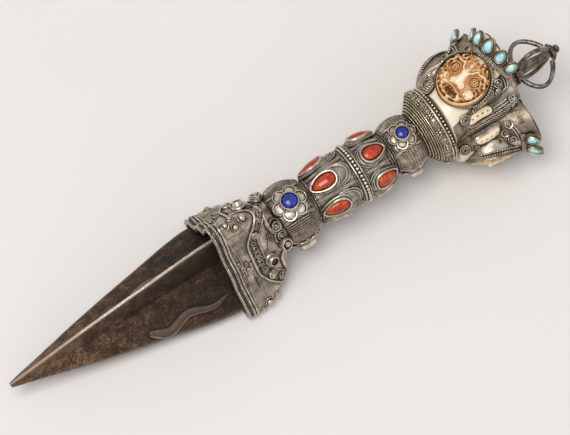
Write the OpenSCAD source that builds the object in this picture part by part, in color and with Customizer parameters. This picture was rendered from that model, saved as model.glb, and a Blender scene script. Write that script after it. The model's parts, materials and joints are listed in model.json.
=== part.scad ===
// Three-bladed ritual dagger lying on a table, as assembled from an iron blade with a long tang
// and silver, bone and stone pieces threaded on it.
// Each piece is drawn about the dagger's own axis, along +Z from the blade's point,
// with one blade fin along +X. The last section lays the whole dagger down.

/* [Blade] */
// Length of blade that shows, from the point to the mount's mouth
blade_l = 109.5; // [95:1:130]
// Radius from the axis to a fin's edge at the mouth
fin_r = 27; // [23:0.5:28]
// Thickness of a fin
fin_t = 2.2; // [1.6:0.1:3]
// Twist of the blade from the mount above it, in degrees
blade_twist = 2; // [0:0.5:4]
// Radius of the blunt point
point_r = 1.3; // [1:0.1:2]
// Radius of the iron tang inside the handle
tang_r = 3; // [2.5:0.1:3.5]
// Length of a snake laid on a fin
snake_l = 42; // [34:1:46]
// Thickness of a snake
snake_t = 1.2; // [0.8:0.1:1.8]

/* [Mount] */
// Length of the three-lobed mount from its mouth to the lower knot
mount_l = 32; // [28:1:38]
// Radius of the lobes that cover the fins
lobe_r = 31.8; // [30:0.2:34]
// Radius of the mount between the lobes at the mouth
valley_r = 16.6; // [15:0.2:17]
// Radius of the mount at its top
mount_top_r = 13; // [12:0.5:14]
// Thickness of the silver sheet
wall = 0.9; // [0.6:0.1:1.2]
// Thickness of the twisted wires along the mouth
mouth_wire_d = 1.7; // [1.2:0.1:2]

/* [Knots] */
// Length of the lower knot
knot_lower_l = 18.6; // [17:0.2:22]
// Radius of the lower knot's ball
knot_lower_r = 15; // [14:0.1:16]
// Length of the upper knot
knot_upper_l = 15.8; // [14:0.2:18]
// Radius of the upper knot's ball
knot_upper_r = 13.2; // [12.4:0.1:14]
// Diameter of a lapis stone on the lower knot
lapis_lower_d = 7.6; // [6:0.2:8.4]
// Diameter of a lapis stone on the upper knot
lapis_upper_d = 6; // [5:0.2:7]

/* [Grip] */
// Length of a ring between a knot and the grip
neck_l = 2; // [1.6:0.2:3]
// Radius of the grip at its ends
neck_r = 9.6; // [9:0.1:10.4]
// Twist of the knots and the grip from the mount, in degrees
grip_twist = 3; // [0:0.5:5]
// Length of the grip's lower half
grip_lower_l = 21.4; // [19:0.2:24]
// Length of the grip's upper half
grip_upper_l = 14.4; // [13.4:0.2:18]
// Radius of the grip next to its waist band
grip_r = 13; // [12.4:0.1:14]
// Width of the waist band
waist_l = 4.4; // [3.6:0.2:6]
// Diameter of the beads on the waist band
waist_bead_d = 1.7; // [1.4:0.1:2]
// Length of a coral stone in the lower half
coral_lower_l = 12.4; // [10:0.2:13]
// Length of a coral stone in the upper half
coral_upper_l = 10.8; // [9:0.2:11.4]
// Width of a coral stone
coral_w = 6.6; // [5.4:0.2:7.2]

/* [Collar] */
// Length of the collar under the head
collar_l = 11.8; // [10.6:0.2:14]
// Largest radius of the collar
collar_r = 19; // [18:0.2:20]

/* [Head] */
// Radius of one of the three bone heads
head_r = 13; // [12.4:0.1:13.6]
// Distance from the axis to the middle of a bone head, at the height of its face
head_off = 14.8; // [14:0.1:15.6]
// Height from the collar to the middle of a head
head_h = 18.8; // [18:0.2:20]
// Height from the middle of a head to its top
head_rise = 17; // [16.4:0.2:19]
// Outward lean of a head, in degrees
head_lean = 17; // [14:0.5:19]
// Sideways tilt of the top face, in degrees
tilt_top = 12; // [0:1:14]
// Sideways tilt of the right face, in degrees
tilt_right = 10; // [0:1:14]
// Sideways tilt of the left face, in degrees
tilt_left = -10; // [-12:1:0]
// Radius of a carved face
face_r = 12.2; // [11.8:0.1:12.6]
// How far the middle of a face stands from its head's own axis
face_out = 16; // [15.4:0.1:17]
// Twist of the three heads from the mount, in degrees
head_twist = 3; // [0:0.5:5]
// Thickness of the silver rim round a face
rim_t = 0.9; // [0.7:0.1:1.2]
// Height of the beaded band over a face
diadem_h = 2.6; // [2.2:0.2:3]
// Height of a crown point
crown_h = 8.6; // [8:0.2:9.6]
// Length of the largest turquoise stone
turquoise_l = 6; // [5:0.2:6.6]
// Length of an ear
ear_l = 13; // [11:0.5:14]

/* [Finial] */
// Height of the cap that closes the heads
cap_h = 4.4; // [4:0.2:6]
// Height of the lotus foot under the prongs
foot_h = 3.4; // [3:0.2:5]
// Height of the prongs
prong_h = 19.4; // [17:0.2:23]
// Radius of the prongs' bow
prong_r = 14; // [12:0.2:15]
// Thickness of a prong
prong_d = 2.6; // [2:0.1:3]
// Height of the tip above the prongs
tip_h = 5; // [4:0.5:7]

/* [Hidden] */
$fn = 64;
fit = 0.05; // clearance between pieces that seat on each other
big = 400; // larger than the whole dagger

// Heights along the axis, from the blade's point
mount_u = blade_l;
knot_lower_u = mount_u + mount_l;
neck_lower_u = knot_lower_u + knot_lower_l;
grip_lower_u = neck_lower_u + neck_l;
waist_u = grip_lower_u + grip_lower_l;
grip_upper_u = waist_u + waist_l;
neck_upper_u = grip_upper_u + grip_upper_l;
knot_upper_u = neck_upper_u + neck_l;
collar_u = knot_upper_u + knot_upper_l;
head_u = collar_u + collar_l;
face_u = head_u + head_h;
rim_r = face_r + fit + rim_t;
cap_u = face_u + head_rise;
foot_u = cap_u + cap_h;
prong_u = foot_u + foot_h;
tip_u = prong_u + prong_h;
end_u = tip_u + tip_h;

// Number of fins, faces and knot flowers round the axis
sides = 3;
third = 360 / sides;

module thrice() {
    for (i = [0:sides - 1]) rotate(i * third) children();
}

// A slab of the dagger between two heights
module slab(low, high, r = big) {
    translate([0, 0, low]) cylinder(r = r, h = high - low);
}

// Egg-shaped outline with its wide end towards +X
function egg(l, w, taper = 0.22, n = 20) =
    [for (i = [0:n - 1]) let (a = i * 360 / n) [l / 2 * cos(a), w / 2 * sin(a) * (1 + taper * cos(a))]];

// Half of the egg outline above the X axis, for turning a stone
function half_egg(l, w, taper = 0.22, n = 7) =
    [for (i = [0:n]) let (a = i * 180 / n) [w / 2 * sin(a) * (1 + taper * cos(a)), l / 2 * cos(a)]];

// A domed stone lying on the XY plane with its wide end towards +X, sunk by a share of its height
module stone(l, w, taper = 0.22) {
    intersection() {
        rotate([0, 90, 0]) rotate_extrude($fn = 24) polygon(half_egg(l, w, taper));
        translate([-l, -w, 0]) cube([2 * l, 2 * w, w]);
    }
}

// A setting wall round a stone, from z = 0 up
module setting(l, w, h, t = 0.6, taper = 0.22) {
    difference() {
        linear_extrude(h) polygon(egg(l + 2 * t, w + 2 * t, taper));
        translate([0, 0, -1]) linear_extrude(h + 2) polygon(egg(l + fit, w + fit, taper));
    }
}

// Blade

fin_edge = [[0, point_r], [0.17 * blade_l, 6.4], [0.34 * blade_l, 11.8], [0.51 * blade_l, 16.6],
            [0.68 * blade_l, 0.77 * fin_r], [0.85 * blade_l, 0.93 * fin_r], [0.95 * blade_l, fin_r]];
shoulder_u = mount_u + 0.28 * mount_l;
shoulder_r = valley_r - wall - 6;

module fin() {
    outline = concat(
        [[0, 0]], [for (p = fin_edge) [p[1], p[0]]],
        [[fin_r, mount_u + 0.5], [0.93 * fin_r, mount_u + 4], [shoulder_r, shoulder_u], [0, shoulder_u]]);
    rotate([90, 0, 0]) translate([0, 0, -fin_t / 2]) linear_extrude(fin_t) polygon(outline);
}

module blade() {
    color("dimgray") rotate(blade_twist) {
        thrice() fin();
        cylinder(r = point_r, h = 6);
        slab(shoulder_u - 12, cap_u + 1, tang_r);
    }
}

// A snake lies along the middle of one face of each fin
snake_w = 4.2;
snake_steps = 26;
snake_waves = 1.75;
snake_swing = 2.2;
snake_foot_u = 0.61 * blade_l;
function snake_wave(s) = snake_swing * (1 - 0.6 * s) * sin(360 * snake_waves * s - 50);
function snake_mid(s) = [snake_mid_r(s) + snake_wave(s), snake_foot_u + s * snake_l];
function snake_mid_r(s) = fin_r * (0.57 + 0.07 * s);
function snake_half(s) = snake_w / 2 * (s < 0.12 ? 0.45 + 0.6 * sqrt(s / 0.12) : 1.05 - 0.93 * s * s);

module snake() {
    outline = concat(
        [for (i = [0:snake_steps]) let (s = i / snake_steps) snake_mid(s) + [snake_half(s), 0]],
        [for (i = [snake_steps:-1:0]) let (s = i / snake_steps) snake_mid(s) - [snake_half(s), 0]]);
    translate([0, -fin_t / 2 - fit, 0]) rotate([90, 0, 0]) linear_extrude(snake_t) polygon(outline);
}

module snakes() {
    color("slategray") rotate(blade_twist) thrice() snake();
}

// Mount: a three-lobed mouth that covers the fins and closes to a round top

lobe_angle = 16.5; // half width of a lobe, in degrees
function to_lobe(a) = let (b = ((a % third) + third) % third) min(b, third - b);
function lobe_share(a) = exp(-pow(to_lobe(a) / lobe_angle, 2));
// How much of the lobe is left at a share s of the mount's length
function lobe_left(s) = s < 0.12 ? 0.96 + 0.04 * s / 0.12 : 1 - pow((s - 0.12) / 0.88, 2.6);
function mount_round_r(s) = valley_r + (mount_top_r - valley_r) * s + 1.2 * sin(180 * s);
function mount_r(a, s) =
    mount_round_r(s) + (lobe_r - valley_r) * lobe_left(s) * lobe_share(a);
function mount_at(a, s, grow = 0) =
    let (r = mount_r(a, s) + grow) [r * cos(a), r * sin(a), mount_u + s * mount_l];

mount_turn = 72; // points round the mount
mount_rows = 9;

module mount_solid(grow, low, high) {
    points = [for (j = [0:mount_rows]) for (i = [0:mount_turn - 1])
        let (s = low + (high - low) * j / mount_rows) mount_at(i * 360 / mount_turn, s, grow)];
    sides_of = [for (j = [0:mount_rows - 1]) for (i = [0:mount_turn - 1])
        let (k = (i + 1) % mount_turn, a = j * mount_turn + i, b = j * mount_turn + k)
        each [[a, a + mount_turn, b], [b, a + mount_turn, b + mount_turn]]];
    bottom = [for (i = [0:mount_turn - 1]) i];
    top = [for (i = [mount_turn - 1:-1:0]) mount_rows * mount_turn + i];
    polyhedron(points, concat(sides_of, [bottom, top]), convexity = 6);
}

hollow_top = 0.93; // share of the mount's length where its hollow ends
pitch_low = 0.34; // share of the mount's length where the pitch filling starts

// A closed band round the axis: each ring has its points in the same order
module closed_band(points, rings, ring_points) {
    faces = [for (i = [0:rings - 1]) for (k = [0:ring_points - 1])
        let (j = (i + 1) % rings, m = (k + 1) % ring_points,
             a = i * ring_points + k, b = i * ring_points + m, c = j * ring_points + k, d = j * ring_points + m)
        each [[a, c, b], [b, c, d]]];
    polyhedron(points, faces, convexity = 6);
}

// The sheet of the mount goes up outside, in over the top to the tang's hole, and down inside
shell_points = 2 * mount_rows + 4;
function on_hole(a, s) = [(tang_r + fit) * cos(a), (tang_r + fit) * sin(a), mount_u + s * mount_l];
function shell_point(a, k) =
    k <= mount_rows ? mount_at(a, k / mount_rows)
    : k == mount_rows + 1 ? on_hole(a, 1)
    : k == mount_rows + 2 ? on_hole(a, hollow_top)
    : mount_at(a, hollow_top * (shell_points - 1 - k) / mount_rows, -wall - 0.35);

module mount_shell() {
    color("silver") closed_band(
        [for (i = [0:mount_turn - 1]) for (k = [0:shell_points - 1]) shell_point(i * 360 / mount_turn, k)],
        mount_turn, shell_points);
}

module mount_pitch() {
    color("saddlebrown") difference() {
        mount_solid(-wall - 0.45, pitch_low, hollow_top - 0.01);
        slab(mount_u, knot_lower_u + 1, tang_r + fit);
    }
}

// A wire that follows the mount's surface at one height
wire_rings = 96;
wire_sides = 6;
wire_lift = 0.3; // keeps a wire clear of the sheet where the mount's side slopes
function wire_point(a, s, d, b) =
    let (r = mount_r(a, s) + d / 2 + wire_lift + d / 2 * cos(b))
    [r * cos(a), r * sin(a), mount_u + s * mount_l + d / 2 * sin(b)];

// The wire lies at a share s in the valleys and climbs towards the top over every lobe
module follow_wire(s, d, climb = 0) {
    closed_band(
        [for (i = [0:wire_rings - 1]) for (k = [0:wire_sides - 1]) let (a = i * 360 / wire_rings)
            wire_point(a, s + climb * lobe_share(a), d, k * 360 / wire_sides)],
        wire_rings, wire_sides);
}

mouth_wire_s = [0.02, 0.1];
module mouth_wires() {
    color("silver") for (s = mouth_wire_s) follow_wire(s, mouth_wire_d);
}

mount_wire_s = 0.41;
mount_wire_climb = 0.29;
mount_wire_d = 1.1;
module mount_wire() {
    color("silver") follow_wire(mount_wire_s, mount_wire_d, mount_wire_climb);
}

// Spiral curls lie on one side of every lobe, and a ring curl stands up on a stud on its other side
module curl(r, d) {
    rotate_extrude($fn = 32) translate([r, 0]) circle(d = d, $fn = 16);
    cylinder(r = r * 0.4, h = d * 0.8, center = true);
    translate([0, 0, -d * 0.2]) cylinder(r = r, h = d * 0.4);
}

curl_r = 2.9;
curl_d = 1.4;
curl_spots = [[25, 0.93], [48, 0.94]]; // degrees from the lobe, share of the mount's length
ring_curl_r = 2.1;
ring_curl_rise = 2;
ring_curl_spot = [-54, 0.95];

module on_mount(spot, out) {
    translate(mount_at(spot[0], spot[1], out)) rotate([0, 90, spot[0] * 0.9]) children();
}

module makara_curls() {
    color("silver") thrice() {
        for (spot = curl_spots) on_mount(spot, curl_d / 2 + 0.75) curl(curl_r, curl_d);
        on_mount(ring_curl_spot, curl_d / 2 + 0.75 + ring_curl_rise) {
            curl(ring_curl_r, curl_d);
            translate([0, 0, -curl_d / 2 - ring_curl_rise])
                cylinder(r = ring_curl_r * 0.5, h = curl_d / 2 + ring_curl_rise);
        }
    }
}

// A garnet in a short tube on one flank of each lobe is the makara's eye
eye_r = 1.9;
eye_tube_h = 3.4;
eye_floor = 2; // height of the stone's seat in its tube
eye_angle = 44;
eye_s = 0.66;
module on_flank(side, a, s, out) {
    translate(mount_at(side * a, s, out)) rotate([0, 0, side * (a + 12)]) rotate([0, 90, 0]) children();
}

module makara_eye_bezels() {
    color("silver") thrice() on_flank(-1, eye_angle, eye_s, 0.75) difference() {
        cylinder(r = eye_r + 0.6, h = eye_tube_h);
        translate([0, 0, eye_floor]) cylinder(r = eye_r + fit, h = eye_tube_h);
    }
}

module makara_eyes() {
    color("darkred") thrice() on_flank(-1, eye_angle, eye_s, 0.75) translate([0, 0, eye_floor + fit]) intersection() {
        cylinder(r = eye_r, h = 3);
        translate([0, 0, -0.6]) sphere(r = 2.9);
    }
}

// A curled nostril on each flank, next to the snout
module makara_noses() {
    color("silver") thrice() for (side = [-1, 1]) on_flank(side, 20, 0.58, 1.3) {
        rotate_extrude($fn = 32) translate([1.9, 0]) circle(d = 1.3, $fn = 16);
        sphere(r = 1.5, $fn = 24);
    }
}

// Knots: a ball with three flowers, each round a lapis stone

module ball_slice(r, u, l, pad = 0) {
    intersection() {
        translate([0, 0, u + l / 2]) sphere(r = r);
        slab(u + pad, u + l - pad);
    }
}

module knot(r, u, l) {
    color("silver") difference() {
        ball_slice(r, u, l);
        ball_slice(r - wall, u, l, wall);
        slab(u - 1, u + l + 1, tang_r + fit);
    }
}

module knot_pitch(r, u, l) {
    color("saddlebrown") difference() {
        ball_slice(r - wall - fit, u, l, wall + fit);
        slab(u - 1, u + l + 1, tang_r + fit);
    }
}

flower_t = 0.9;
petals = 6;

module flower(stone_d) {
    for (i = [0:petals - 1]) rotate(i * 360 / petals + 30)
        translate([stone_d * 0.62, 0]) circle(r = stone_d * 0.36, $fn = 32);
    circle(r = stone_d * 0.66);
}

module knot_flowers(r, u, l, stone_d) {
    color("silver") thrice() intersection() {
        translate([0, 0, u + l / 2]) difference() {
            sphere(r = r + flower_t);
            sphere(r = r + fit);
        }
        translate([0, 0, u + l / 2]) rotate([0, 90, 0]) linear_extrude(r + 5) flower(stone_d);
    }
}

bezel_t = 0.8;
bezel_h = 2;

// How far a flat stone or setting of this radius stands from the axis on a knot's flower
function flower_seat(r, stone_r) = sqrt(pow(r + flower_t, 2) - pow(stone_r, 2)) + fit;

module at_flowers(u, l, out) {
    thrice() translate([out, 0, u + l / 2]) rotate([0, 90, 0]) children();
}

module knot_bezels(r, u, l, stone_d) {
    color("silver") at_flowers(u, l, flower_seat(r, stone_d / 2)) difference() {
        cylinder(r = stone_d / 2 + bezel_t, h = bezel_h);
        translate([0, 0, -1]) cylinder(r = stone_d / 2 + fit, h = bezel_h + 2);
    }
}

module knot_stones(r, u, l, stone_d) {
    dome = stone_d * 0.62;
    color("mediumblue") at_flowers(u, l, r + flower_t + fit) intersection() {
        cylinder(r = stone_d / 2, h = stone_d);
        translate([0, 0, bezel_h + 0.6 - dome]) sphere(r = dome);
    }
}

// Grip: two halves of a lotus, mouth to mouth on a beaded waist band

// Radius of the grip at height h above its neck end, for a half of length l
function grip_at(h, l) = neck_r + 0.4 + (grip_r - neck_r - 0.4) * pow(sin(90 * min(1, h / (0.72 * l))), 0.8);
grip_steps = 8;

// A solid half of the grip from its neck end up, grown outwards
module grip_half(l, grow) {
    rotate_extrude() polygon(concat(
        [[0, 0]], [for (i = [0:grip_steps]) let (h = l * i / grip_steps) [grip_at(h, l) + grow, h]], [[0, l]]));
}

module grip_half_shell(l) {
    difference() {
        grip_half(l, 0);
        translate([0, 0, wall]) grip_half_inner(l);
        slab(-1, l + 1, tang_r + fit);
    }
}

module grip_half_inner(l) {
    intersection() {
        translate([0, 0, -wall]) grip_half(l, -wall);
        slab(0, l - 2 * wall);
    }
}

petals_round = 6;
petal_t = 0.9;

// One raised petal round each stone, and the straight leaf between two petals
module petal_outlines(l) {
    translate([l * 0.5, 0]) polygon(egg(l * 0.94, coral_w + 4, 0.3));
}

module leaf_outline(l) {
    translate([l * 0.5, 0]) polygon(egg(l * 0.9, 2.2, -0.3));
}

module grip_half_petals(l) {
    for (i = [0:petals_round - 1]) rotate(i * 360 / petals_round) intersection() {
        difference() {
            grip_half(l, petal_t);
            grip_half(l, fit);
        }
        union() {
            translate([0, 0, 0.3]) rotate([0, 90, 0]) rotate(180) linear_extrude(grip_r + 5) petal_outlines(l - 0.6);
            rotate(180 / petals_round) translate([0, 0, 0.3]) rotate([0, 90, 0]) rotate(180)
                linear_extrude(grip_r + 5) leaf_outline(l - 0.6);
        }
    }
}

coral_lift = 0.9; // height of the setting over the petal at the stone's middle
coral_gap = 1.2; // from the neck to the narrow end of a setting

// Places a stone's own plane on the petal, with its wide end away from the neck
module at_corals(l, stone_l, out) {
    mid = coral_gap + stone_l / 2;
    low = grip_at(mid - 0.3 * stone_l, l);
    high = grip_at(mid + 0.3 * stone_l, l);
    slope = atan((high - low) / (0.6 * stone_l));
    for (i = [0:petals_round - 1]) rotate(i * 360 / petals_round)
        translate([(low + high) / 2 + petal_t + out, 0, mid]) rotate([0, 90 + slope, 0]) rotate(180) children();
}

module grip_half_bezels(l, stone_l) {
    difference() {
        at_corals(l, stone_l, -2) setting(stone_l, coral_w, 2 + coral_lift, 0.7);
        grip_half(l, petal_t + fit);
    }
}

module grip_half_corals(l, stone_l) {
    difference() {
        at_corals(l, stone_l, -0.6) union() {
            stone(stone_l, coral_w);
            translate([0, 0, -1.4]) linear_extrude(1.4) polygon(egg(stone_l, coral_w));
        }
        grip_half(l, petal_t + fit);
    }
}

module lower_half() {
    translate([0, 0, grip_lower_u]) rotate(grip_twist) children();
}

module upper_half() {
    translate([0, 0, neck_upper_u]) mirror([0, 0, 1]) rotate(grip_twist) children();
}

module neck_ring(u) {
    color("silver") difference() {
        union() {
            slab(u, u + neck_l, neck_r);
            translate([0, 0, u + neck_l / 2]) rotate_extrude()
                translate([neck_r, 0]) circle(d = neck_l * 0.7, $fn = 24);
        }
        slab(u - 1, u + neck_l + 1, tang_r + fit);
    }
}

waist_r = grip_r + 0.6; // the seat of the waist's beads
waist_wire_r = 0.6;

module waist_band() {
    color("silver") difference() {
        union() {
            slab(waist_u, grip_upper_u, waist_r);
            for (h = [waist_wire_r + 0.1, waist_l - waist_wire_r - 0.1]) translate([0, 0, waist_u + h])
                rotate_extrude() translate([waist_r, 0]) circle(r = waist_wire_r, $fn = 20);
        }
        slab(waist_u - 1, grip_upper_u + 1, grip_r - 1.8);
    }
}

// Beads in a row round the axis, threaded on a thin wire
module bead_row(u, r, d, count) {
    translate([0, 0, u]) {
        rotate_extrude() translate([r, 0]) circle(d = d * 0.5, $fn = 16);
        for (i = [0:count - 1]) rotate(i * 360 / count) translate([r, 0, 0]) sphere(d = d, $fn = 20);
    }
}

waist_bead_r = waist_r + waist_bead_d / 2 + fit;
waist_bead_count = floor(2 * PI * waist_bead_r / (waist_bead_d * 1.12));
module waist_beads() {
    color("silver") bead_row(waist_u + waist_l / 2, waist_bead_r, waist_bead_d, waist_bead_count);
}

// Pitch fills both halves of the grip round the tang
module grip_pitch() {
    color("saddlebrown") difference() {
        union() {
            translate([0, 0, grip_lower_u + wall + fit]) linear_grip_fill(grip_lower_l);
            translate([0, 0, neck_upper_u - wall - fit]) mirror([0, 0, 1]) linear_grip_fill(grip_upper_l);
        }
        slab(grip_lower_u - 1, neck_upper_u + 1, tang_r + fit);
    }
}

module linear_grip_fill(l) {
    rotate_extrude() polygon(concat(
        [[0, 0]],
        [for (i = [0:grip_steps]) let (h = (l - 2 * wall - 2 * fit) * i / grip_steps)
            [grip_at(h, l) - wall - 0.15, h]],
        [[0, l - 2 * wall - 2 * fit]]));
}

// Collar: a seat that flares from the upper knot to the head

collar_foot_r = neck_r + 0.8;
collar_top_r = collar_r - 1.2;
collar_profile = [
    [collar_foot_r, 0], [collar_foot_r + 1.4, 0.06 * collar_l], [collar_foot_r + 3.4, 0.2 * collar_l],
    [collar_r - 2.6, 0.36 * collar_l], [collar_r - 0.5, 0.5 * collar_l], [collar_r, 0.62 * collar_l],
    [collar_r - 0.4, 0.74 * collar_l], [collar_top_r, 0.8 * collar_l], [collar_top_r, collar_l]];

module collar_solid(grow) {
    translate([0, 0, collar_u]) rotate_extrude()
        polygon(concat([[0, 0]], [for (p = collar_profile) [p[0] + grow, p[1]]], [[0, collar_l]]));
}

module collar() {
    color("silver") difference() {
        collar_solid(0);
        intersection() {
            collar_solid(-wall);
            slab(collar_u + wall, head_u - wall);
        }
        slab(collar_u - 1, head_u + 1, tang_r + fit);
    }
}

module collar_pitch() {
    color("saddlebrown") difference() {
        intersection() {
            collar_solid(-wall - fit);
            slab(collar_u + wall + fit, head_u - wall - fit);
        }
        slab(collar_u - 1, head_u + 1, tang_r + fit);
    }
}

module collar_wire(k, d) {
    p = collar_profile[k];
    q = collar_profile[k + 1];
    mid = (p + q) / 2;
    out = [q[1] - p[1], p[0] - q[0]] / norm(q - p);
    place = mid + out * (d / 2 + fit);
    translate([0, 0, collar_u + place[1]]) rotate_extrude() translate([place[0], 0]) circle(d = d, $fn = 20);
}

module collar_wires() {
    color("silver") {
        collar_wire(0, 1.1);
        collar_wire(1, 1.3);
        collar_wire(2, 1.3);
        collar_wire(6, 0.9);
    }
}

collar_bead_d = 1.5;
collar_bead_count = floor(2 * PI * collar_top_r / (collar_bead_d * 1.15));
module collar_beads() {
    color("silver") bead_row(collar_u + 0.88 * collar_l, collar_top_r + collar_bead_d / 2 + fit, collar_bead_d,
        collar_bead_count);
}

collar_flower_count = 12;
collar_flower_r = 2.4;
module collar_flowers() {
    h = 0.56 * collar_l;
    turn = 360 / collar_flower_count;
    color("silver") for (i = [0:collar_flower_count - 1]) rotate((i + 0.5) * turn) difference() {
        translate([collar_r - 0.6, 0, collar_u + h]) rotate([0, 80, 0])
            cylinder(r = collar_flower_r, h = 1.5, $fn = 32);
        collar_solid(fit);
    }
}

// Head: three bone heads back to back, each with a face, a rim, two ears and a crown

face_tilts = [tilt_top, tilt_right, tilt_left];

// Stands the children on one head's own axis, with its face along +X
module on_head(i) {
    rotate(i * third - head_twist) translate([head_off, 0, face_u])
        rotate([0, head_lean, 0]) rotate([face_tilts[i], 0, 0]) children();
}

module on_heads() {
    for (i = [0:sides - 1]) on_head(i) children();
}

module head_column(grow = 0) {
    translate([0, 0, -head_h - 8]) cylinder(r = head_r + grow, h = head_h + head_rise + 20);
}

core_r = head_off; // radius of the solid between the three heads

module head_core() {
    color("oldlace") difference() {
        intersection() {
            union() {
                on_heads() head_column();
                slab(head_u, cap_u, core_r);
            }
            slab(head_u, cap_u);
        }
        slab(head_u - 1, cap_u + 1, tang_r + fit);
    }
}

face_ball_r = 28; // radius of a face's dome
face_back = 5; // how near to its head's axis the edge of a face reaches back
face_edge = face_out - face_ball_r + sqrt(pow(face_ball_r, 2) - pow(face_r, 2));
dome_steps = 5;
face_profile = concat([[0, face_back], [face_r, face_back]],
    [for (i = [dome_steps:-1:0]) let (y = face_r * i / dome_steps)
        [y, face_out - face_ball_r + sqrt(pow(face_ball_r, 2) - pow(y, 2))]]);
nose_r = 3.4;
eye_ball_r = 2.6;
cheek_r = 2.8;
mouth_r = 2.2;

// A rounded boss of the carving, its foot inside the face
module boss(r) {
    rotate([0, 90, 0]) rotate_extrude($fn = 32)
        polygon([[0, -r], [r, -r], [r, 0], [0.87 * r, r / 2], [r / 2, 0.87 * r], [0, r]]);
}

module face() {
    difference() {
        union() {
            rotate([0, 90, 0]) rotate_extrude() polygon(face_profile);
            translate([face_out - 1.6, 0, -1.4]) boss(nose_r);
            for (side = [-1, 1]) {
                translate([face_out - 1.5, side * 5.6, 3.2]) boss(eye_ball_r);
                translate([face_out - 2.2, side * 6, -4.8]) boss(cheek_r);
            }
        }
        head_column(fit);
        translate([face_out, 0, -7.6]) rotate([0, 90, 0]) cylinder(r = mouth_r, h = 4, center = true);
    }
}

rim_lip = face_edge + 0.7;

module face_rims() {
    color("silver") on_heads() difference() {
        translate([face_back, 0, 0]) rotate([0, 90, 0]) cylinder(r = rim_r, h = rim_lip - face_back);
        translate([face_back - 1, 0, 0]) rotate([0, 90, 0]) cylinder(r = face_r + fit, h = 30);
        head_column(fit);
    }
}

ear_angle = 88; // degrees from the face, round the head
ear_turn = 35; // degrees that an ear turns back towards its own face
ear_out = 0.7; // how far the middle of an ear stands off its head
ear_r = 2.3;
ear_h = -4.4; // height of an ear's middle from the middle of its head
ear_bezel_in = 1.7; // how far an ear's setting reaches in to meet the leaning head
ear_bezel_h = 2.9;

// An ear stands along the dagger, on the side of its head
module at_ears(out) {
    rotate(-head_twist) thrice() for (side = [-1, 1]) translate([head_off, 0, face_u + ear_h])
        rotate(side * ear_angle) translate([head_r + ear_out, 0, 0]) rotate(-side * ear_turn)
        translate([out, 0, 0]) children();
}

module ears() {
    span = ear_l / 2 - ear_r;
    color("oldlace") difference() {
        at_ears(0) {
            cylinder(r = ear_r, h = 2 * span, center = true);
            for (end = [-1, 1]) translate([0, 0, end * span]) sphere(r = ear_r);
        }
        on_heads() head_column(fit);
    }
}

module stadium(l, r) {
    square([l - 2 * r, 2 * r], center = true);
    for (end = [-1, 1]) translate([end * (l / 2 - r), 0]) circle(r = r, $fn = 32);
}

module ear_bezels() {
    color("silver") difference() {
        at_ears(-ear_out - ear_bezel_in) rotate([0, 90, 0]) linear_extrude(ear_bezel_h) difference() {
            stadium(ear_l + 1.6, ear_r + 0.8);
            stadium(ear_l + 2 * fit, ear_r + fit);
        }
        on_heads() head_column(fit);
    }
}

// Coiled rosettes hang at the foot of every head, and one at the foot of every rib
module rosette(r, t) {
    cylinder(r = r * 0.9, h = t * 0.6);
    translate([0, 0, t * 0.5]) rotate_extrude($fn = 32) translate([r * 0.8, 0]) circle(d = t, $fn = 16);
    cylinder(r = r * 0.32, h = t);
}

rosette_r = 2.5;
rosette_t = 1.1;
rosette_angle = 60;
rib_out = 2.4; // how far a rib stands out of the valley between two heads
rib_w = 4;

module earrings() {
    low = -head_h + rosette_r + 3.4;
    color("silver") on_heads() for (side = [-1, 1]) rotate(side * rosette_angle)
        translate([head_r + fit, 0, low]) rotate([0, 90, 0]) rosette(rosette_r, rosette_t);
}

// Ribs of twisted hair close the valleys between the heads
module side_ribs() {
    color("silver") difference() {
        thrice() rotate(third / 2 - head_twist) translate([0, -rib_w / 2, head_u + fit])
            cube([core_r + rib_out, rib_w, cap_u - head_u - 2 * fit]);
        on_heads() head_column(fit);
        slab(head_u - 1, cap_u + 1, core_r + fit);
    }
}

diadem_t = 1.5;
diadem_angle = 66;
diadem_z = rim_r + 0.2;

module head_band(low, h, t) {
    translate([0, 0, low]) rotate(-diadem_angle) rotate_extrude(angle = 2 * diadem_angle)
        translate([head_r + fit, 0]) square([t, h]);
}

module diadems() {
    color("silver") on_heads() head_band(diadem_z, diadem_h, diadem_t);
}

// Five leaf points stand on the beaded band and flare outwards
crown_angles = [-54, -27, 0, 27, 54];
crown_shares = [0.82, 0.92, 1, 0.92, 0.82];
crown_flare = 28;
crown_foot_h = 1.2;
crown_z = diadem_z + diadem_h + fit;
leaf_w = 7.2;
leaf_t = 1;

module at_points() {
    for (k = [0:len(crown_angles) - 1]) {
        $share = crown_shares[k];
        translate([0, 0, crown_z]) rotate(crown_angles[k])
            translate([head_r + fit, 0, 0]) rotate([0, crown_flare, 0]) children();
    }
}

module crown() {
    head_band(crown_z, crown_foot_h, diadem_t);
    difference() {
        at_points() translate([0, 0, crown_h * $share / 2]) rotate([0, 90, 0]) linear_extrude(leaf_t)
            polygon(egg(crown_h * $share * 1.04, leaf_w * $share, 0.25));
        head_column(fit);
        translate([0, 0, crown_z - big]) cylinder(r = big, h = big);
    }
}

turquoise_ratio = 0.66;
stone_seat = 0.51; // share of a crown point's height at its stone's middle
crown_setting_h = 0.9;
module crown_settings() {
    at_points() translate([leaf_t + fit, 0, crown_h * $share * stone_seat]) rotate([0, 90, 0])
        setting(turquoise_l * $share, turquoise_l * $share * turquoise_ratio, crown_setting_h, 0.5, 0.25);
}

module crown_stones() {
    at_points() translate([leaf_t + 2 * fit, 0, crown_h * $share * stone_seat]) rotate([0, 90, 0])
        stone(turquoise_l * $share, turquoise_l * $share * turquoise_ratio, 0.25);
}

// Cap and finial

cap_in = 1.6; // how far the cap's edge stays inside the heads' edges
cap_plate_t = 1.2;
nut_room_r = 6;
nut_room_h = 2.6;
foot_r = 6.4;

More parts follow.
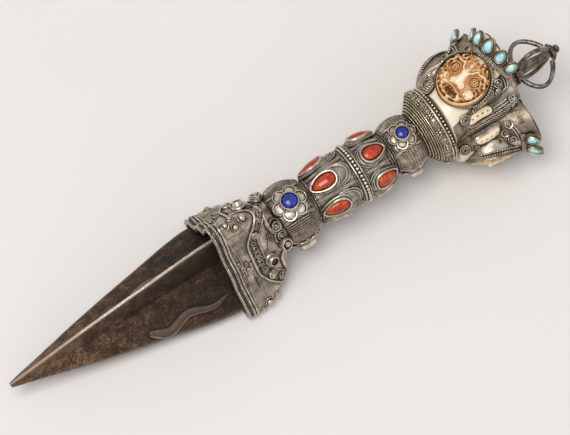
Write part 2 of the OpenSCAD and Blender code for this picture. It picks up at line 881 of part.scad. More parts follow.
module head_cap() {
    color("silver") difference() {
        intersection() {
            union() {
                on_heads() head_column(-cap_in);
                slab(cap_u, foot_u, core_r);
            }
            union() {
                slab(cap_u + fit, cap_u + cap_plate_t);
                translate([0, 0, cap_u + cap_plate_t])
                    cylinder(r1 = core_r + 2, r2 = foot_r, h = cap_h - cap_plate_t);
            }
        }
        slab(cap_u, foot_u + 1, tang_r + fit);
        slab(cap_u, cap_u + nut_room_h, nut_room_r);
    }
}

// The nut that draws the tang tight, under the cap
module tang_nut() {
    color("dimgray") difference() {
        translate([0, 0, cap_u + fit]) cylinder(r = nut_room_r - 0.8, h = nut_room_h - 0.4, $fn = 6);
        slab(cap_u - 1, cap_u + 4, tang_r + fit);
    }
}

module finial_foot() {
    color("silver") difference() {
        union() {
            translate([0, 0, foot_u + fit]) cylinder(r1 = foot_r, r2 = foot_r * 0.72, h = foot_h * 0.5);
            translate([0, 0, foot_u + foot_h * 0.5])
                cylinder(r1 = foot_r * 0.72, r2 = foot_r * 0.85, h = foot_h * 0.5);
        }
        slab(foot_u - 1, foot_u + 2, 2.2);
    }
}

shaft_r = 2.3;
module finial_shaft() {
    color("dimgray") {
        translate([0, 0, prong_u + fit]) cylinder(r1 = shaft_r * 1.15, r2 = shaft_r * 0.8, h = prong_h - 2 * fit);
    }
}

// A prong bows out from the foot and back in to the tip
prongs = 4;
prong_rings = 16;
prong_sides = 8;
prong_in = shaft_r * 1.15 + prong_d / 2 + 0.25;
prong_low = prong_d / 2 + 0.1; // the bar's own half thickness, which keeps it off the foot
function bow(s) = pow(sin(180 * pow(s, 0.85)), 0.75);
function prong_mid(s) =
    [prong_in + (prong_r - prong_d / 2 - prong_in) * bow(s), prong_low + s * (prong_h - 2 * prong_low)];
function prong_dir(s) =
    let (a = prong_mid(max(0, s - 0.02)), b = prong_mid(min(1, s + 0.02)), d = b - a) d / norm(d);

module prong() {
    points = [for (i = [0:prong_rings]) for (k = [0:prong_sides - 1])
        let (s = i / prong_rings, m = prong_mid(s), d = prong_dir(s), b = (k + 0.5) * 360 / prong_sides,
             across = prong_d / 2 * cos(b), side = prong_d / 2 * sin(b))
        [m[0] + across * d[1], side, m[1] - across * d[0]]];
    walls = [for (i = [0:prong_rings - 1]) for (k = [0:prong_sides - 1])
        let (m = (k + 1) % prong_sides, a = i * prong_sides + k, b = i * prong_sides + m)
        each [[a, b, a + prong_sides], [b, b + prong_sides, a + prong_sides]]];
    first = [for (k = [prong_sides - 1:-1:0]) k];
    last = [for (k = [0:prong_sides - 1]) prong_rings * prong_sides + k];
    polyhedron(points, concat(walls, [first, last]), convexity = 4);
}

module finial_prongs() {
    color("dimgray") for (i = [0:prongs - 1]) rotate(i * 360 / prongs) translate([0, 0, prong_u]) prong();
}

bead_r = 2.1; // the bead at the very end, and how much of it is cut flat
bead_cut = 0.4;

module finial_tip() {
    color("dimgray") difference() {
        union() {
            translate([0, 0, tip_u + fit]) cylinder(r = 4.4, h = 1);
            translate([0, 0, tip_u + 1]) cylinder(r = 2, h = tip_h - 2.5);
            translate([0, 0, tip_u + 1.7]) rotate_extrude() translate([2.6, 0]) circle(r = 0.8, $fn = 20);
            translate([0, 0, end_u - bead_r + bead_cut]) sphere(r = bead_r);
        }
        slab(end_u, end_u + 1);
    }
}

// Lying down: the axis turns level, the first fin points up, and the dagger settles on two lobes
// and on the rim of the left face.

// Depth of a lobe under the axis, where its outer wire is widest
lobe_low_s = mouth_wire_s[1];
lobe_low = max([for (a = [0:0.5:60]) -(mount_r(a, lobe_low_s) + mouth_wire_d + wire_lift) * cos(a + third)]);
lobe_low_u = mount_u + lobe_low_s * mount_l;

// A point of one head, from that head's own frame to the dagger's
function turned_x(p, a) = [p[0], p[1] * cos(a) - p[2] * sin(a), p[1] * sin(a) + p[2] * cos(a)];
function turned_y(p, a) = [p[0] * cos(a) + p[2] * sin(a), p[1], p[2] * cos(a) - p[0] * sin(a)];
function turned_z(p, a) = [p[0] * cos(a) - p[1] * sin(a), p[0] * sin(a) + p[1] * cos(a), p[2]];
function from_head(i, p) =
    turned_z(turned_y(turned_x(p, face_tilts[i]), head_lean) + [head_off, 0, face_u], i * third - head_twist);

function crown_tip(k) = let (l = crown_h * crown_shares[k] * 1.02, p = turned_y([leaf_t, 0, l], crown_flare))
    turned_z([head_r + fit + p[0], 0, p[2] + crown_z], crown_angles[k]);
function crown_tips(i) = [for (k = [0:len(crown_angles) - 1]) from_head(i, crown_tip(k))];
function rim_edge(i) = [for (a = [0:5:355]) from_head(i, [rim_lip, rim_r * cos(a), rim_r * sin(a)])];

// The axis tips up until the whole left head is above the table
left_low = concat(crown_tips(2), rim_edge(2));
rest_tilt = atan(max([for (p = left_low) (-p[0] - lobe_low) / (p[2] - lobe_low_u)]));
rest_height = lobe_low * cos(rest_tilt) - lobe_low_u * sin(rest_tilt);

// The middle of the dagger's length, and of its width between the crowns
mid_x = end_u * cos(rest_tilt) / 2;
mid_y = (max([for (p = crown_tips(1)) p[1]]) + min([for (p = crown_tips(2)) p[1]])) / 2;

module lay_down() {
    translate([-mid_x, mid_y, rest_height]) rotate([0, -rest_tilt, 0]) rotate(a = 180, v = [1, 0, 1]) children();
}

lay_down() blade();
lay_down() snakes();
lay_down() mount_shell();
lay_down() mouth_wires();
lay_down() mount_wire();
lay_down() mount_pitch();
lay_down() makara_curls();
lay_down() makara_eye_bezels();
lay_down() makara_eyes();
lay_down() makara_noses();
lay_down() knot(knot_lower_r, knot_lower_u, knot_lower_l);  // knot_lower
lay_down() knot_pitch(knot_lower_r, knot_lower_u, knot_lower_l);  // knot_lower_pitch
lay_down() rotate(grip_twist) knot_flowers(knot_lower_r, knot_lower_u, knot_lower_l, lapis_lower_d);  // knot_lower_flowers
lay_down() rotate(grip_twist) knot_bezels(knot_lower_r, knot_lower_u, knot_lower_l, lapis_lower_d);  // knot_lower_bezels
lay_down() rotate(grip_twist) knot_stones(knot_lower_r, knot_lower_u, knot_lower_l, lapis_lower_d);  // knot_lower_lapis
lay_down() neck_ring(neck_lower_u);  // neck_ring_lower
lay_down() lower_half() color("silver") grip_half_shell(grip_lower_l);  // grip_lower
lay_down() lower_half() color("silver") grip_half_petals(grip_lower_l);  // grip_lower_petals
lay_down() lower_half() color("silver") grip_half_bezels(grip_lower_l, coral_lower_l);  // grip_lower_bezels
lay_down() lower_half() color("orangered") grip_half_corals(grip_lower_l, coral_lower_l);  // grip_lower_corals
lay_down() waist_band();
lay_down() waist_beads();
lay_down() grip_pitch();
lay_down() upper_half() color("silver") grip_half_shell(grip_upper_l);  // grip_upper
lay_down() upper_half() color("silver") grip_half_petals(grip_upper_l);  // grip_upper_petals
lay_down() upper_half() color("silver") grip_half_bezels(grip_upper_l, coral_upper_l);  // grip_upper_bezels
lay_down() upper_half() color("orangered") grip_half_corals(grip_upper_l, coral_upper_l);  // grip_upper_corals
lay_down() neck_ring(neck_upper_u);  // neck_ring_upper
lay_down() knot(knot_upper_r, knot_upper_u, knot_upper_l);  // knot_upper
lay_down() knot_pitch(knot_upper_r, knot_upper_u, knot_upper_l);  // knot_upper_pitch
lay_down() rotate(grip_twist) knot_flowers(knot_upper_r, knot_upper_u, knot_upper_l, lapis_upper_d);  // knot_upper_flowers
lay_down() rotate(grip_twist) knot_bezels(knot_upper_r, knot_upper_u, knot_upper_l, lapis_upper_d);  // knot_upper_bezels
lay_down() rotate(grip_twist) knot_stones(knot_upper_r, knot_upper_u, knot_upper_l, lapis_upper_d);  // knot_upper_lapis
lay_down() collar();
lay_down() collar_wires();
lay_down() collar_beads();
lay_down() collar_flowers();
lay_down() collar_pitch();
lay_down() head_core();
lay_down() color("burlywood") on_head(0) face();  // face_top
lay_down() color("burlywood") on_head(1) face();  // face_right
lay_down() color("burlywood") on_head(2) face();  // face_left
lay_down() face_rims();
lay_down() ears();
lay_down() ear_bezels();
lay_down() earrings();
lay_down() side_ribs();
lay_down() diadems();
lay_down() color("silver") on_head(0) crown();  // crown_top
lay_down() color("silver") on_head(1) crown();  // crown_right
lay_down() color("silver") on_head(2) crown();  // crown_left
lay_down() color("silver") on_heads() crown_settings();  // crown_bezels
lay_down() color("turquoise") on_heads() crown_stones();  // turquoises
lay_down() head_cap();
lay_down() tang_nut();
lay_down() finial_foot();
lay_down() finial_shaft();
lay_down() finial_prongs();
lay_down() finial_tip();
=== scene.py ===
import json
import math

import bmesh
import bpy
from mathutils import Matrix, Vector, noise


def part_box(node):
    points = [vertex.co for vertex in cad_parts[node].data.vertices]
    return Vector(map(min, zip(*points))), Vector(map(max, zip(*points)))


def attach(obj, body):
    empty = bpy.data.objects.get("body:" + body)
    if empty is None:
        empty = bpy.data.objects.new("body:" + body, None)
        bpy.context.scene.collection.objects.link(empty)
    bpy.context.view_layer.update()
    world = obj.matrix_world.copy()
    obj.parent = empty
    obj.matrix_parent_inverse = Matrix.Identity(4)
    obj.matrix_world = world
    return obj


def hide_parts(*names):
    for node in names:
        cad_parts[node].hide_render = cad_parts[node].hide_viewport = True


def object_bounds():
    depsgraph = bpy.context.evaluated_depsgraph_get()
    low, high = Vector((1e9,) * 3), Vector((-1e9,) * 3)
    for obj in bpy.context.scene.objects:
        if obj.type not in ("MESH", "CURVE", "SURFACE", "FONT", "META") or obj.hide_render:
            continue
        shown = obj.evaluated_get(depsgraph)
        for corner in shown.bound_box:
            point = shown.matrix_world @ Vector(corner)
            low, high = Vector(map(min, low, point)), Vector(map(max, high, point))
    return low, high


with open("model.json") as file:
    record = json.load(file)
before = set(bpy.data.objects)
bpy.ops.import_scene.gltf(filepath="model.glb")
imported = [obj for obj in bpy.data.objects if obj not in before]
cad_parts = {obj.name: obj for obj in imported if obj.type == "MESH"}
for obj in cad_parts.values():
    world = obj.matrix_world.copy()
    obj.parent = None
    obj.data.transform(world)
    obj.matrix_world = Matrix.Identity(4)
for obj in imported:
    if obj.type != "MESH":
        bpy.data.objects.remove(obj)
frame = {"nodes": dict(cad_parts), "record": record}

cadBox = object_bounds()
print("frame loaded")


# The dagger's own axes, in mm: Z runs from the blade's point up the handle, X towards the top fin

def middleOf(node):
    low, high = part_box(node)
    return (Vector(low) + Vector(high)) / 2


pointBelowKnot = 0.1508  # from the lower knot's middle down to the blade's point, in metres
along = (middleOf("knot_upper") - middleOf("knot_lower")).normalized()
upward = Vector((-along.z, 0, along.x))
dagger = Matrix((upward, along.cross(upward), along)).transposed().to_4x4()
dagger = Matrix.Translation(middleOf("knot_lower") - along * pointBelowKnot) @ dagger
dagger = dagger @ Matrix.Scale(0.001, 4)


def polar(angle, radius, height):
    turn = math.radians(angle)
    return Vector((radius * math.cos(turn), radius * math.sin(turn), height))


def shares(count):
    # even steps from 0 to 1
    return [i / count for i in range(count + 1)]


def shift(x, y, z):
    return Matrix.Translation((x, y, z))


def turnBy(angle, axis):
    return Matrix.Rotation(math.radians(angle), 4, axis)


def hump(x, y, width, length):
    return math.exp(-(x / width) ** 2 - (y / length) ** 2)


def smoothly(table, x):
    # a smooth curve through the table's (x, y) pairs
    k = 0
    while k < len(table) - 2 and x > table[k + 1][0]:
        k += 1
    (x0, y0), (x1, y1) = table[k], table[k + 1]
    slopes = []
    for j in (k, k + 1):
        low, high = table[max(0, j - 1)], table[min(len(table) - 1, j + 1)]
        slopes.append((high[1] - low[1]) / (high[0] - low[0]))
    t = max(0.0, min(1.0, (x - x0) / (x1 - x0)))
    return ((2 * t ** 3 - 3 * t ** 2 + 1) * y0 + (3 * t ** 2 - 2 * t ** 3) * y1
            + ((t ** 3 - 2 * t ** 2 + t) * slopes[0] + (t ** 3 - t ** 2) * slopes[1]) * (x1 - x0))


# Mesh tools

def turned(bm, profile, steps=96):
    # turns a profile of (radius, height) pairs right round the axis
    corners = [bm.verts.new((radius, 0, height)) for radius, height in profile]
    edges = [bm.edges.new(pair) for pair in zip(corners, corners[1:])]
    bmesh.ops.spin(bm, geom=corners + edges, cent=(0, 0, 0), axis=(0, 0, 1), angle=2 * math.pi,
                   steps=steps, use_merge=True)


def loft(bm, rings, capped=True, closed=True):
    # grows a skin row by row; all rows have the same number of points, and closed ones are rings
    def pairsOf(row):
        return zip(row, row[1:] + row[:1]) if closed else zip(row, row[1:])

    row = [bm.verts.new(point) for point in rings[0]]
    if capped:
        bm.faces.new(row)
    edges = [bm.edges.get(pair) or bm.edges.new(pair) for pair in pairsOf(row)]
    for ring in rings[1:]:
        grown = bmesh.ops.extrude_edge_only(bm, edges=edges)["geom"]
        fresh = {item for item in grown if isinstance(item, bmesh.types.BMVert)}
        row = [next(edge.other_vert(corner) for edge in corner.link_edges
                    if edge.other_vert(corner) in fresh) for corner in row]
        edges = [bm.edges.get(pair) for pair in pairsOf(row)]
        for corner, point in zip(row, ring):
            corner.co = point
    if capped:
        bm.faces.new(row)


def join(bm, single):
    # adds a small mesh to a large one
    mesh = bpy.data.meshes.new("single")
    single.to_mesh(mesh)
    single.free()
    bm.from_mesh(mesh)
    bpy.data.meshes.remove(mesh)


def turnedAt(bm, matrix, profile, steps=24):
    single = bmesh.new()
    turned(single, profile, steps)
    single.transform(matrix)
    join(bm, single)


def bead(bm, place, radius, around=10, flat=1.0, outward=None):
    # a small ball, or a flattened one whose short way is outward
    turn = Vector(outward).to_track_quat("Z", "Y").to_matrix().to_4x4() if outward else Matrix()
    matrix = Matrix.Translation(place) @ turn @ Matrix.Diagonal((1, 1, flat, 1))
    single = bmesh.new()
    bmesh.ops.create_uvsphere(single, u_segments=around, v_segments=max(4, around // 2 + 1),
                              radius=radius, matrix=matrix)
    join(bm, single)


def stoneAt(bm, matrix, length, width, height, taper=0.0, around=32):
    # a domed stone whose long way is Y
    made = bmesh.ops.create_uvsphere(bm, u_segments=around, v_segments=around // 2, radius=1)
    for corner in made["verts"]:
        x, y, z = corner.co
        corner.co = matrix @ Vector((x * width / 2 * (1 + taper * y), y * length / 2,
                                     height * (z if z > 0 else z * 0.15)))


def addWires(bm, runs, fine=1):
    # each run is (points, radius or radii, closed)
    curve = bpy.data.curves.new("wire", "CURVE")
    curve.dimensions = "3D"
    curve.bevel_depth = 1
    curve.bevel_resolution = fine
    curve.use_fill_caps = True
    for points, radius, closed in runs:
        spline = curve.splines.new("POLY")
        spline.points.add(len(points) - 1)
        radii = radius if isinstance(radius, (list, tuple)) else [radius] * len(points)
        for spot, point, size in zip(spline.points, points, radii):
            spot.co = (*point, 1)
            spot.radius = size
        spline.use_cyclic_u = closed
    holder = bpy.data.objects.new("wire", curve)
    mesh = bpy.data.meshes.new_from_object(holder)
    bm.from_mesh(mesh)
    bpy.data.meshes.remove(mesh)
    bpy.data.objects.remove(holder)
    bpy.data.curves.remove(curve)


def evenly(points, step, closed=False):
    # the same path with points a step apart
    path = [Vector(point) for point in points]
    if closed:
        path = path + [path[0]]
    lengths = [0.0]
    for a, b in zip(path, path[1:]):
        lengths.append(lengths[-1] + (b - a).length)
    count = max(2, round(lengths[-1] / step))
    found, k = [], 0
    for i in range(count if closed else count + 1):
        want = lengths[-1] * i / count
        while k < len(path) - 2 and lengths[k + 1] < want:
            k += 1
        share = (want - lengths[k]) / max(1e-9, lengths[k + 1] - lengths[k])
        found.append(path[k].lerp(path[k + 1], share))
    return found


def twisted(points, radius, pitch, closed=False, outwardOf=None, perTurn=7):
    # two strands wound round a path; outwardOf gives the outward way at a point off the axis
    path = evenly(points, pitch / perTurn, closed)
    strands = [[], []]
    count = len(path)
    turns = max(1, round(count / perTurn))
    for i, here in enumerate(path):
        ahead = path[(i + 1) % count] if closed else path[min(i + 1, count - 1)]
        behind = path[(i - 1) % count] if closed else path[max(i - 1, 0)]
        forward = (ahead - behind).normalized()
        out = outwardOf(here) if outwardOf else Vector((here.x, here.y, 0))
        side = forward.cross(out).normalized()
        out = side.cross(forward)
        for strand, start in zip(strands, (0, math.pi)):
            angle = 2 * math.pi * turns * i / count + start
            strand.append(here + (out * math.cos(angle) + side * math.sin(angle)) * radius * 0.5)
    return [(strand, radius * 0.51, closed) for strand in strands]


def mendSeams(bm):
    # closes seams and poles and turns the faces outwards
    bmesh.ops.remove_doubles(bm, verts=bm.verts, dist=0.001)
    bmesh.ops.recalc_face_normals(bm, faces=bm.faces)


def makePiece(name, bm, material, replaced=(), sharp=42, mend=True):
    # wires and beads come closed and pass through each other, so they aren't mended with the shells
    if mend:
        mendSeams(bm)
    mesh = bpy.data.meshes.new(name)
    bm.to_mesh(mesh)
    bm.free()
    mesh.transform(dagger)
    mesh.materials.append(material)
    mesh.shade_smooth()
    mesh.set_sharp_from_angle(angle=math.radians(sharp))
    piece = bpy.data.objects.new(name, mesh)
    bpy.context.scene.collection.objects.link(piece)
    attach(piece, "root")
    if replaced:
        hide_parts(*replaced)
    print("made", name, len(mesh.polygons))


# Materials

def toLinear(hexColour):
    parts = [int(hexColour[i:i + 2], 16) / 255 for i in (1, 3, 5)]
    return tuple(c / 12.92 if c <= 0.04045 else ((c + 0.055) / 1.055) ** 2.4 for c in parts) + (1.0,)


def addNode(tree, kind, settings=None, links=None):
    # settings are the node's values, its sockets by name or number, or a ramp's (place, colour) stops;
    # a link comes from a socket or from a node's first output
    node = tree.nodes.new("ShaderNode" + kind)
    for key, value in (settings or {}).items():
        if key == "stops":
            band = node.color_ramp.elements
            while len(band) < len(value):
                band.new(0.5)
            for element, (spot, colour) in zip(band, value):
                element.position = spot
                element.color = toLinear(colour)
        elif hasattr(node, str(key)):
            setattr(node, key, value)
        else:
            node.inputs[key].default_value = value
    for key, source in (links or {}).items():
        socket = source if isinstance(source, bpy.types.NodeSocket) else source.outputs[0]
        tree.links.new(socket, node.inputs[key])
    return node


def newMaterial(name):
    material = bpy.data.materials.new(name)
    material.use_nodes = True
    tree = material.node_tree
    tree.nodes.clear()
    return material, tree, addNode(tree, "TexCoord").outputs["Object"]


def finishMaterial(tree, settings, links):
    shader = addNode(tree, "BsdfPrincipled", settings, links)
    addNode(tree, "OutputMaterial", links={"Surface": shader})


silverFinish = {
    "creviceReach": 0.0017,  # how far a wire shades the sheet beside it, in metres
    "blotch": 0.0036,  # size of the tarnish blotches
    "tarnish": (0.56, 1.16),  # how dark and how bright the blotches leave the silver
    "grit": 0.0005,  # hammer and polish marks, coarser than real ones so that they show
    "gritDepth": 0.00022,
}


def agedSilver(name, dark, middle, light, rough=0.34, relief=0.35, lift=0.0):
    # hand-worked sheet silver: black sulphide and painted shade sit in the hollows and beside the
    # wires, and handling keeps the rest bright
    material, tree, place = newMaterial(name)
    hollow = addNode(tree, "AmbientOcclusion",
                     {"samples": 6, "Distance": silverFinish["creviceReach"]})
    blotches = addNode(tree, "TexNoise", {"Scale": 1 / silverFinish["blotch"],
                       "Detail": 5.0, "Roughness": 0.6}, {"Vector": place})
    grit = addNode(tree, "TexNoise", {"Scale": 1 / silverFinish["grit"],
                   "Detail": 3.0, "Roughness": 0.6}, {"Vector": place})
    # the occlusion darkens the hollows and the sheet beside a wire: partly real tarnish, partly
    # painted shade
    tarnishAndShade = addNode(tree, "Math", {"operation": "POWER", 1: 2.0}, {0: hollow.outputs["AO"]})
    darkest, brightest = silverFinish["tarnish"]
    spread = addNode(tree, "MapRange", {"From Min": 0.3, "From Max": 0.7,
                     "To Min": darkest + lift, "To Max": brightest + lift}, {"Value": blotches})
    grain = addNode(tree, "MapRange", {"From Min": 0.3, "From Max": 0.7, "To Min": 0.8,
                    "To Max": 1.12}, {"Value": grit})
    tone = addNode(tree, "Math", {"operation": "MULTIPLY"}, {0: tarnishAndShade, 1: spread})
    tone = addNode(tree, "Math", {"operation": "MULTIPLY"}, {0: tone, 1: grain})
    colour = addNode(tree, "ValToRGB",
                     {"stops": [(0.12, dark), (0.55, middle), (0.95, light)]}, {"Fac": tone})
    roughness = addNode(tree, "MapRange", {"From Min": 0.1, "From Max": 0.9, "To Min": 0.7,
                        "To Max": rough}, {"Value": tone})
    metal = addNode(tree, "MapRange", {"From Min": 0.05, "From Max": 0.5, "To Min": 0.35,
                    "To Max": 1.0}, {"Value": tone})
    bump = addNode(tree, "Bump",
                   {"Strength": relief, "Distance": silverFinish["gritDepth"]}, {"Height": grit})
    finishMaterial(tree, {}, {"Base Color": colour, "Roughness": roughness, "Metallic": metal,
                              "Normal": bump})
    return material


ironFinish = {
    "blotch": 0.0055,  # patches of rust skin, in metres
    "pit": 0.0009,  # rust pits
    "pitDepth": 0.0003,
    # how far the painted shade reaches out of a crease or a hollow, in metres
    "creviceReach": 0.0016,
    "paintedSheenUntil": -0.14,  # the point's end, along the frame's X; up to here the iron is painted lighter, as a sheen
    # from here on towards the mount the iron is painted darker, as the mount's shadow
    "paintedShadowFrom": -0.04,
    "skin": [(0.64, "#1c1510"), (0.8, "#39291d"), (0.94, "#5a4330"), (1.0, "#7d6249")],
    "filed": "#a99d90",
}


def forgedIron(name):
    # hand-forged iron: a brown-black rust skin, filed bright along the fins' edges, with a painted
    # sheen on the middle of the edges; painted shade darkens its creases, and it is painted lighter
    # towards the point and darker towards the mount
    material, tree, place = newMaterial(name)
    blotches = addNode(tree, "TexNoise", {"Scale": 1 / ironFinish["blotch"],
                       "Detail": 8.0, "Roughness": 0.78}, {"Vector": place})
    pits = addNode(tree, "TexNoise", {"Scale": 1 / ironFinish["pit"],
                   "Detail": 4.0, "Roughness": 0.7}, {"Vector": place})
    # painted shade: the creases between the fins and the hollows round the snakes are darkened
    hollow = addNode(tree, "AmbientOcclusion",
                     {"samples": 6, "Distance": ironFinish["creviceReach"]})
    depth = addNode(tree, "MapRange", {"From Min": 0.35, "From Max": 0.9, "To Min": -0.3,
                    "To Max": 0.0}, {"Value": hollow.outputs["AO"]})
    # painted light: the point is painted lighter as a sheen, and the blade darker towards the mount as
    # the mount's shadow
    lengthwise = addNode(tree, "SeparateXYZ", links={"Vector": place})
    paintedSheenAndShadow = addNode(tree, "MapRange", {"From Min": ironFinish["paintedSheenUntil"],
                      "From Max": ironFinish["paintedShadowFrom"], "To Min": 0.17, "To Max": -0.06},
                      {"Value": lengthwise})
    filed = addNode(tree, "Attribute", {"attribute_name": "filed"}).outputs["Fac"]
    both = addNode(tree, "Math", {"operation": "MULTIPLY_ADD", 1: 0.62},
                   {0: pits, 2: blotches})
    patina = addNode(tree, "Math", {"operation": "ADD"}, {0: both, 1: depth})
    patina = addNode(tree, "Math", {"operation": "ADD"}, {0: patina, 1: paintedSheenAndShadow})
    skin = addNode(tree, "ValToRGB", {"stops": ironFinish["skin"]}, {"Fac": patina})
    rusted = addNode(tree, "MapRange", {"From Min": 0.7, "From Max": 1.1, "To Min": 0.0,
                     "To Max": -0.3}, {"Value": both})
    bright = addNode(tree, "Math", {"operation": "MULTIPLY_ADD", 1: 0.9, "use_clamp": True},
                     {0: filed, 2: rusted})
    colour = addNode(tree, "MixRGB", {"Color2": toLinear(ironFinish["filed"])},
                     {"Fac": bright, "Color1": skin})
    roughness = addNode(tree, "MapRange", {"To Min": 0.55, "To Max": 0.22}, {"Value": bright})
    metal = addNode(tree, "MapRange", {"To Min": 0.55, "To Max": 1.0}, {"Value": bright})
    bump = addNode(tree, "Bump", {"Strength": 0.7, "Distance": ironFinish["pitDepth"]},
                   {"Height": both})
    finishMaterial(tree, {}, {"Base Color": colour, "Roughness": roughness, "Metallic": metal,
                              "Normal": bump})
    return material


def darkBronze(name):
    # cast bronze of the finial: nearly black with soot and handling, smooth, brown where it is worn,
    # and painted darker in its hollows as shade
    material, tree, place = newMaterial(name)
    hollow = addNode(tree, "AmbientOcclusion", {"samples": 6, "Distance": 0.002})
    wear = addNode(tree, "TexNoise", {"Scale": 1 / 0.003, "Detail": 6.0, "Roughness": 0.62},
                   {"Vector": place})
    # painted shade: the occlusion darkens the hollows
    tone = addNode(tree, "Math", {"operation": "MULTIPLY"}, {0: hollow.outputs["AO"], 1: wear})
    colour = addNode(tree, "ValToRGB",
                     {"stops": [(0.15, "#27211c"), (0.45, "#665a4f"), (0.66, "#a1948a")]},
                     {"Fac": tone})
    bump = addNode(tree, "Bump", {"Strength": 0.3, "Distance": 0.0002}, {"Height": wear})
    finishMaterial(tree, {"Metallic": 0.75, "Roughness": 0.36}, {"Base Color": colour, "Normal": bump})
    return material


boneFinish = {
    "cutReach": 0.0022,  # how far the stain and painted shade reach from a cut or a neighbouring part, in metres
    "stain": 0.004,  # clouds of smoke and tea
    "pore": 0.0006,  # coarser than real pores so that they show
    "plainTone": 0.72,  # how light uncarved bone is
}


def carvedBone(name, deep, middle, light, carved):
    # yak bone stained with tea and smoke: the stain stays in the cuts, painted shade darkens the
    # hollows and the bone beside other parts, and the rest is rubbed to cream
    material, tree, place = newMaterial(name)
    cut = addNode(tree, "Attribute", {"attribute_name": "height"}).outputs["Fac"]
    hollow = addNode(tree, "AmbientOcclusion",
                     {"samples": 8, "Distance": boneFinish["cutReach"]}).outputs["AO"]
    stain = addNode(tree, "TexNoise", {"Scale": 1 / boneFinish["stain"], "Detail": 5.0,
                    "Roughness": 0.6}, {"Vector": place})
    pores = addNode(tree, "TexNoise", {"Scale": 1 / boneFinish["pore"], "Detail": 2.0},
                    {"Vector": place})
    # the occlusion is partly the real stain in the cuts, partly painted shade beside other parts
    tone = addNode(tree, "Math", {"operation": "MULTIPLY", 1: boneFinish["plainTone"]},
                   {0: hollow, 1: cut} if carved else {0: hollow})
    tone = addNode(tree, "Math", {"operation": "MULTIPLY_ADD", 1: 0.35}, {0: stain, 2: tone})
    colour = addNode(tree, "ValToRGB",
                     {"stops": [(0.3, deep), (0.62, middle), (0.98, light)]}, {"Fac": tone})
    bump = addNode(tree, "Bump", {"Strength": 0.2, "Distance": 0.0001}, {"Height": pores})
    finishMaterial(tree, {"Roughness": 0.3, "IOR": 1.55, "Subsurface Weight": 0.12,
                          "Subsurface Scale": 0.0015, "Subsurface Radius": (1.0, 0.5, 0.25)},
                   {"Base Color": colour, "Normal": bump})
    return material


def polishedStone(name, stops, grain, rough=0.16, glow=0.0):
    # a hard stone ground to a dome: glossy, with clouds of its own size, given in metres
    material, tree, place = newMaterial(name)
    clouds = addNode(tree, "TexNoise", {"Scale": 1 / grain, "Detail": 4.0, "Roughness": 0.55,
                                                  "Distortion": 0.4}, {"Vector": place})
    colour = addNode(tree, "ValToRGB", {"stops": stops}, {"Fac": clouds})
    finishMaterial(tree, {"Roughness": rough, "IOR": 1.58, "Subsurface Weight": glow,
                          "Subsurface Scale": 0.001}, {"Base Color": colour})
    return material


def hardPitch(name):
    # pine pitch and brick dust, hard and dull, seen only in the mount's mouth
    material, tree, place = newMaterial(name)
    lumps = addNode(tree, "TexNoise", {"Scale": 1 / 0.002, "Detail": 6.0}, {"Vector": place})
    colour = addNode(tree, "ValToRGB", {"stops": [(0.3, "#14100d"), (0.7, "#2e241c")]},
                     {"Fac": lumps})
    bump = addNode(tree, "Bump", {"Strength": 0.6, "Distance": 0.0004}, {"Height": lumps})
    finishMaterial(tree, {"Roughness": 0.8}, {"Base Color": colour, "Normal": bump})
    return material


silverSheet = agedSilver("agedSilverSheet", "#1d1610", "#7d6f5f", "#c8bcaa")
silverWire = agedSilver("agedSilverWire", "#241c15", "#8f8170", "#dcd2c2", 0.3, 0.2, 0.06)
silverBlack = agedSilver("blackenedSilver", "#17110c", "#5e5142", "#a89a86", 0.3)
silverBright = agedSilver("rubbedSilver", "#352a1f", "#a89a86", "#efe7d8", 0.22, 0.2, 0.1)
silverGilt = agedSilver("giltSilverRope", "#2a2014", "#b09f7c", "#eee2c4", 0.3, 0.15, 0.16)
iron = forgedIron("forgedIron")
bronze = darkBronze("darkBronze")
boneFace = carvedBone("stainedBone", "#64330f", "#c98f4a", "#f5e6c8", True)
bonePlain = carvedBone("plainBone", "#846540", "#d8c4a0", "#f0e8d8", False)
boneEar = carvedBone("smokedBone", "#5d3b1f", "#e6c69b", "#f6e8d0", False)
coral = polishedStone("redCoral", [(0.34, "#841a02"), (0.52, "#b43206"), (0.68, "#d25c16")],
                      0.003, 0.1, 0.05)
turquoise = polishedStone("turquoise", [(0.3, "#7cc3d2"), (0.52, "#9edfe8"), (0.75, "#c6f3f6")],
                          0.003, 0.18)
lapis = polishedStone("lapisLazuli", [(0.32, "#0e1142"), (0.52, "#1f2a8e"), (0.72, "#4056c4")],
                      0.0016, 0.1)
garnet = polishedStone("garnet", [(0.3, "#2a070b"), (0.7, "#4e1016")], 0.002, 0.1)
pitch = hardPitch("hardPitch")

slotMaterials = {
    "iron": iron, "silver_dark": silverSheet, "silver_bright": silverBright, "bone": bonePlain,
    "coral": coral, "turquoise": turquoise, "lapis": lapis, "garnet": garnet, "pitch": pitch,
}
nodeMaterials = {"finial_shaft": bronze, "finial_prongs": bronze, "finial_tip": bronze}
for part in frame["record"]["subparts"]:
    solid = frame["nodes"][part["node"]]
    look = nodeMaterials.get(part["node"], slotMaterials[part["material_slot"]])
    solid.data.materials.clear()
    solid.data.materials.append(look)
print("materials made")


# Drawing on a surface: a surface gives a point for an angle round the axis and a height

def waysAt(surface, angle, height):
    # the ways along the surface round the axis, and out of it
    sideways = surface(angle + 0.4, height) - surface(angle - 0.4, height)
    upwards = surface(angle, height + 0.15) - surface(angle, height - 0.15)
    return sideways, sideways.cross(upwards).normalized()


def raised(surface, angle, height, out):
    # a point that stands out from the surface along its normal
    return surface(angle, height) + waysAt(surface, angle, height)[1] * out


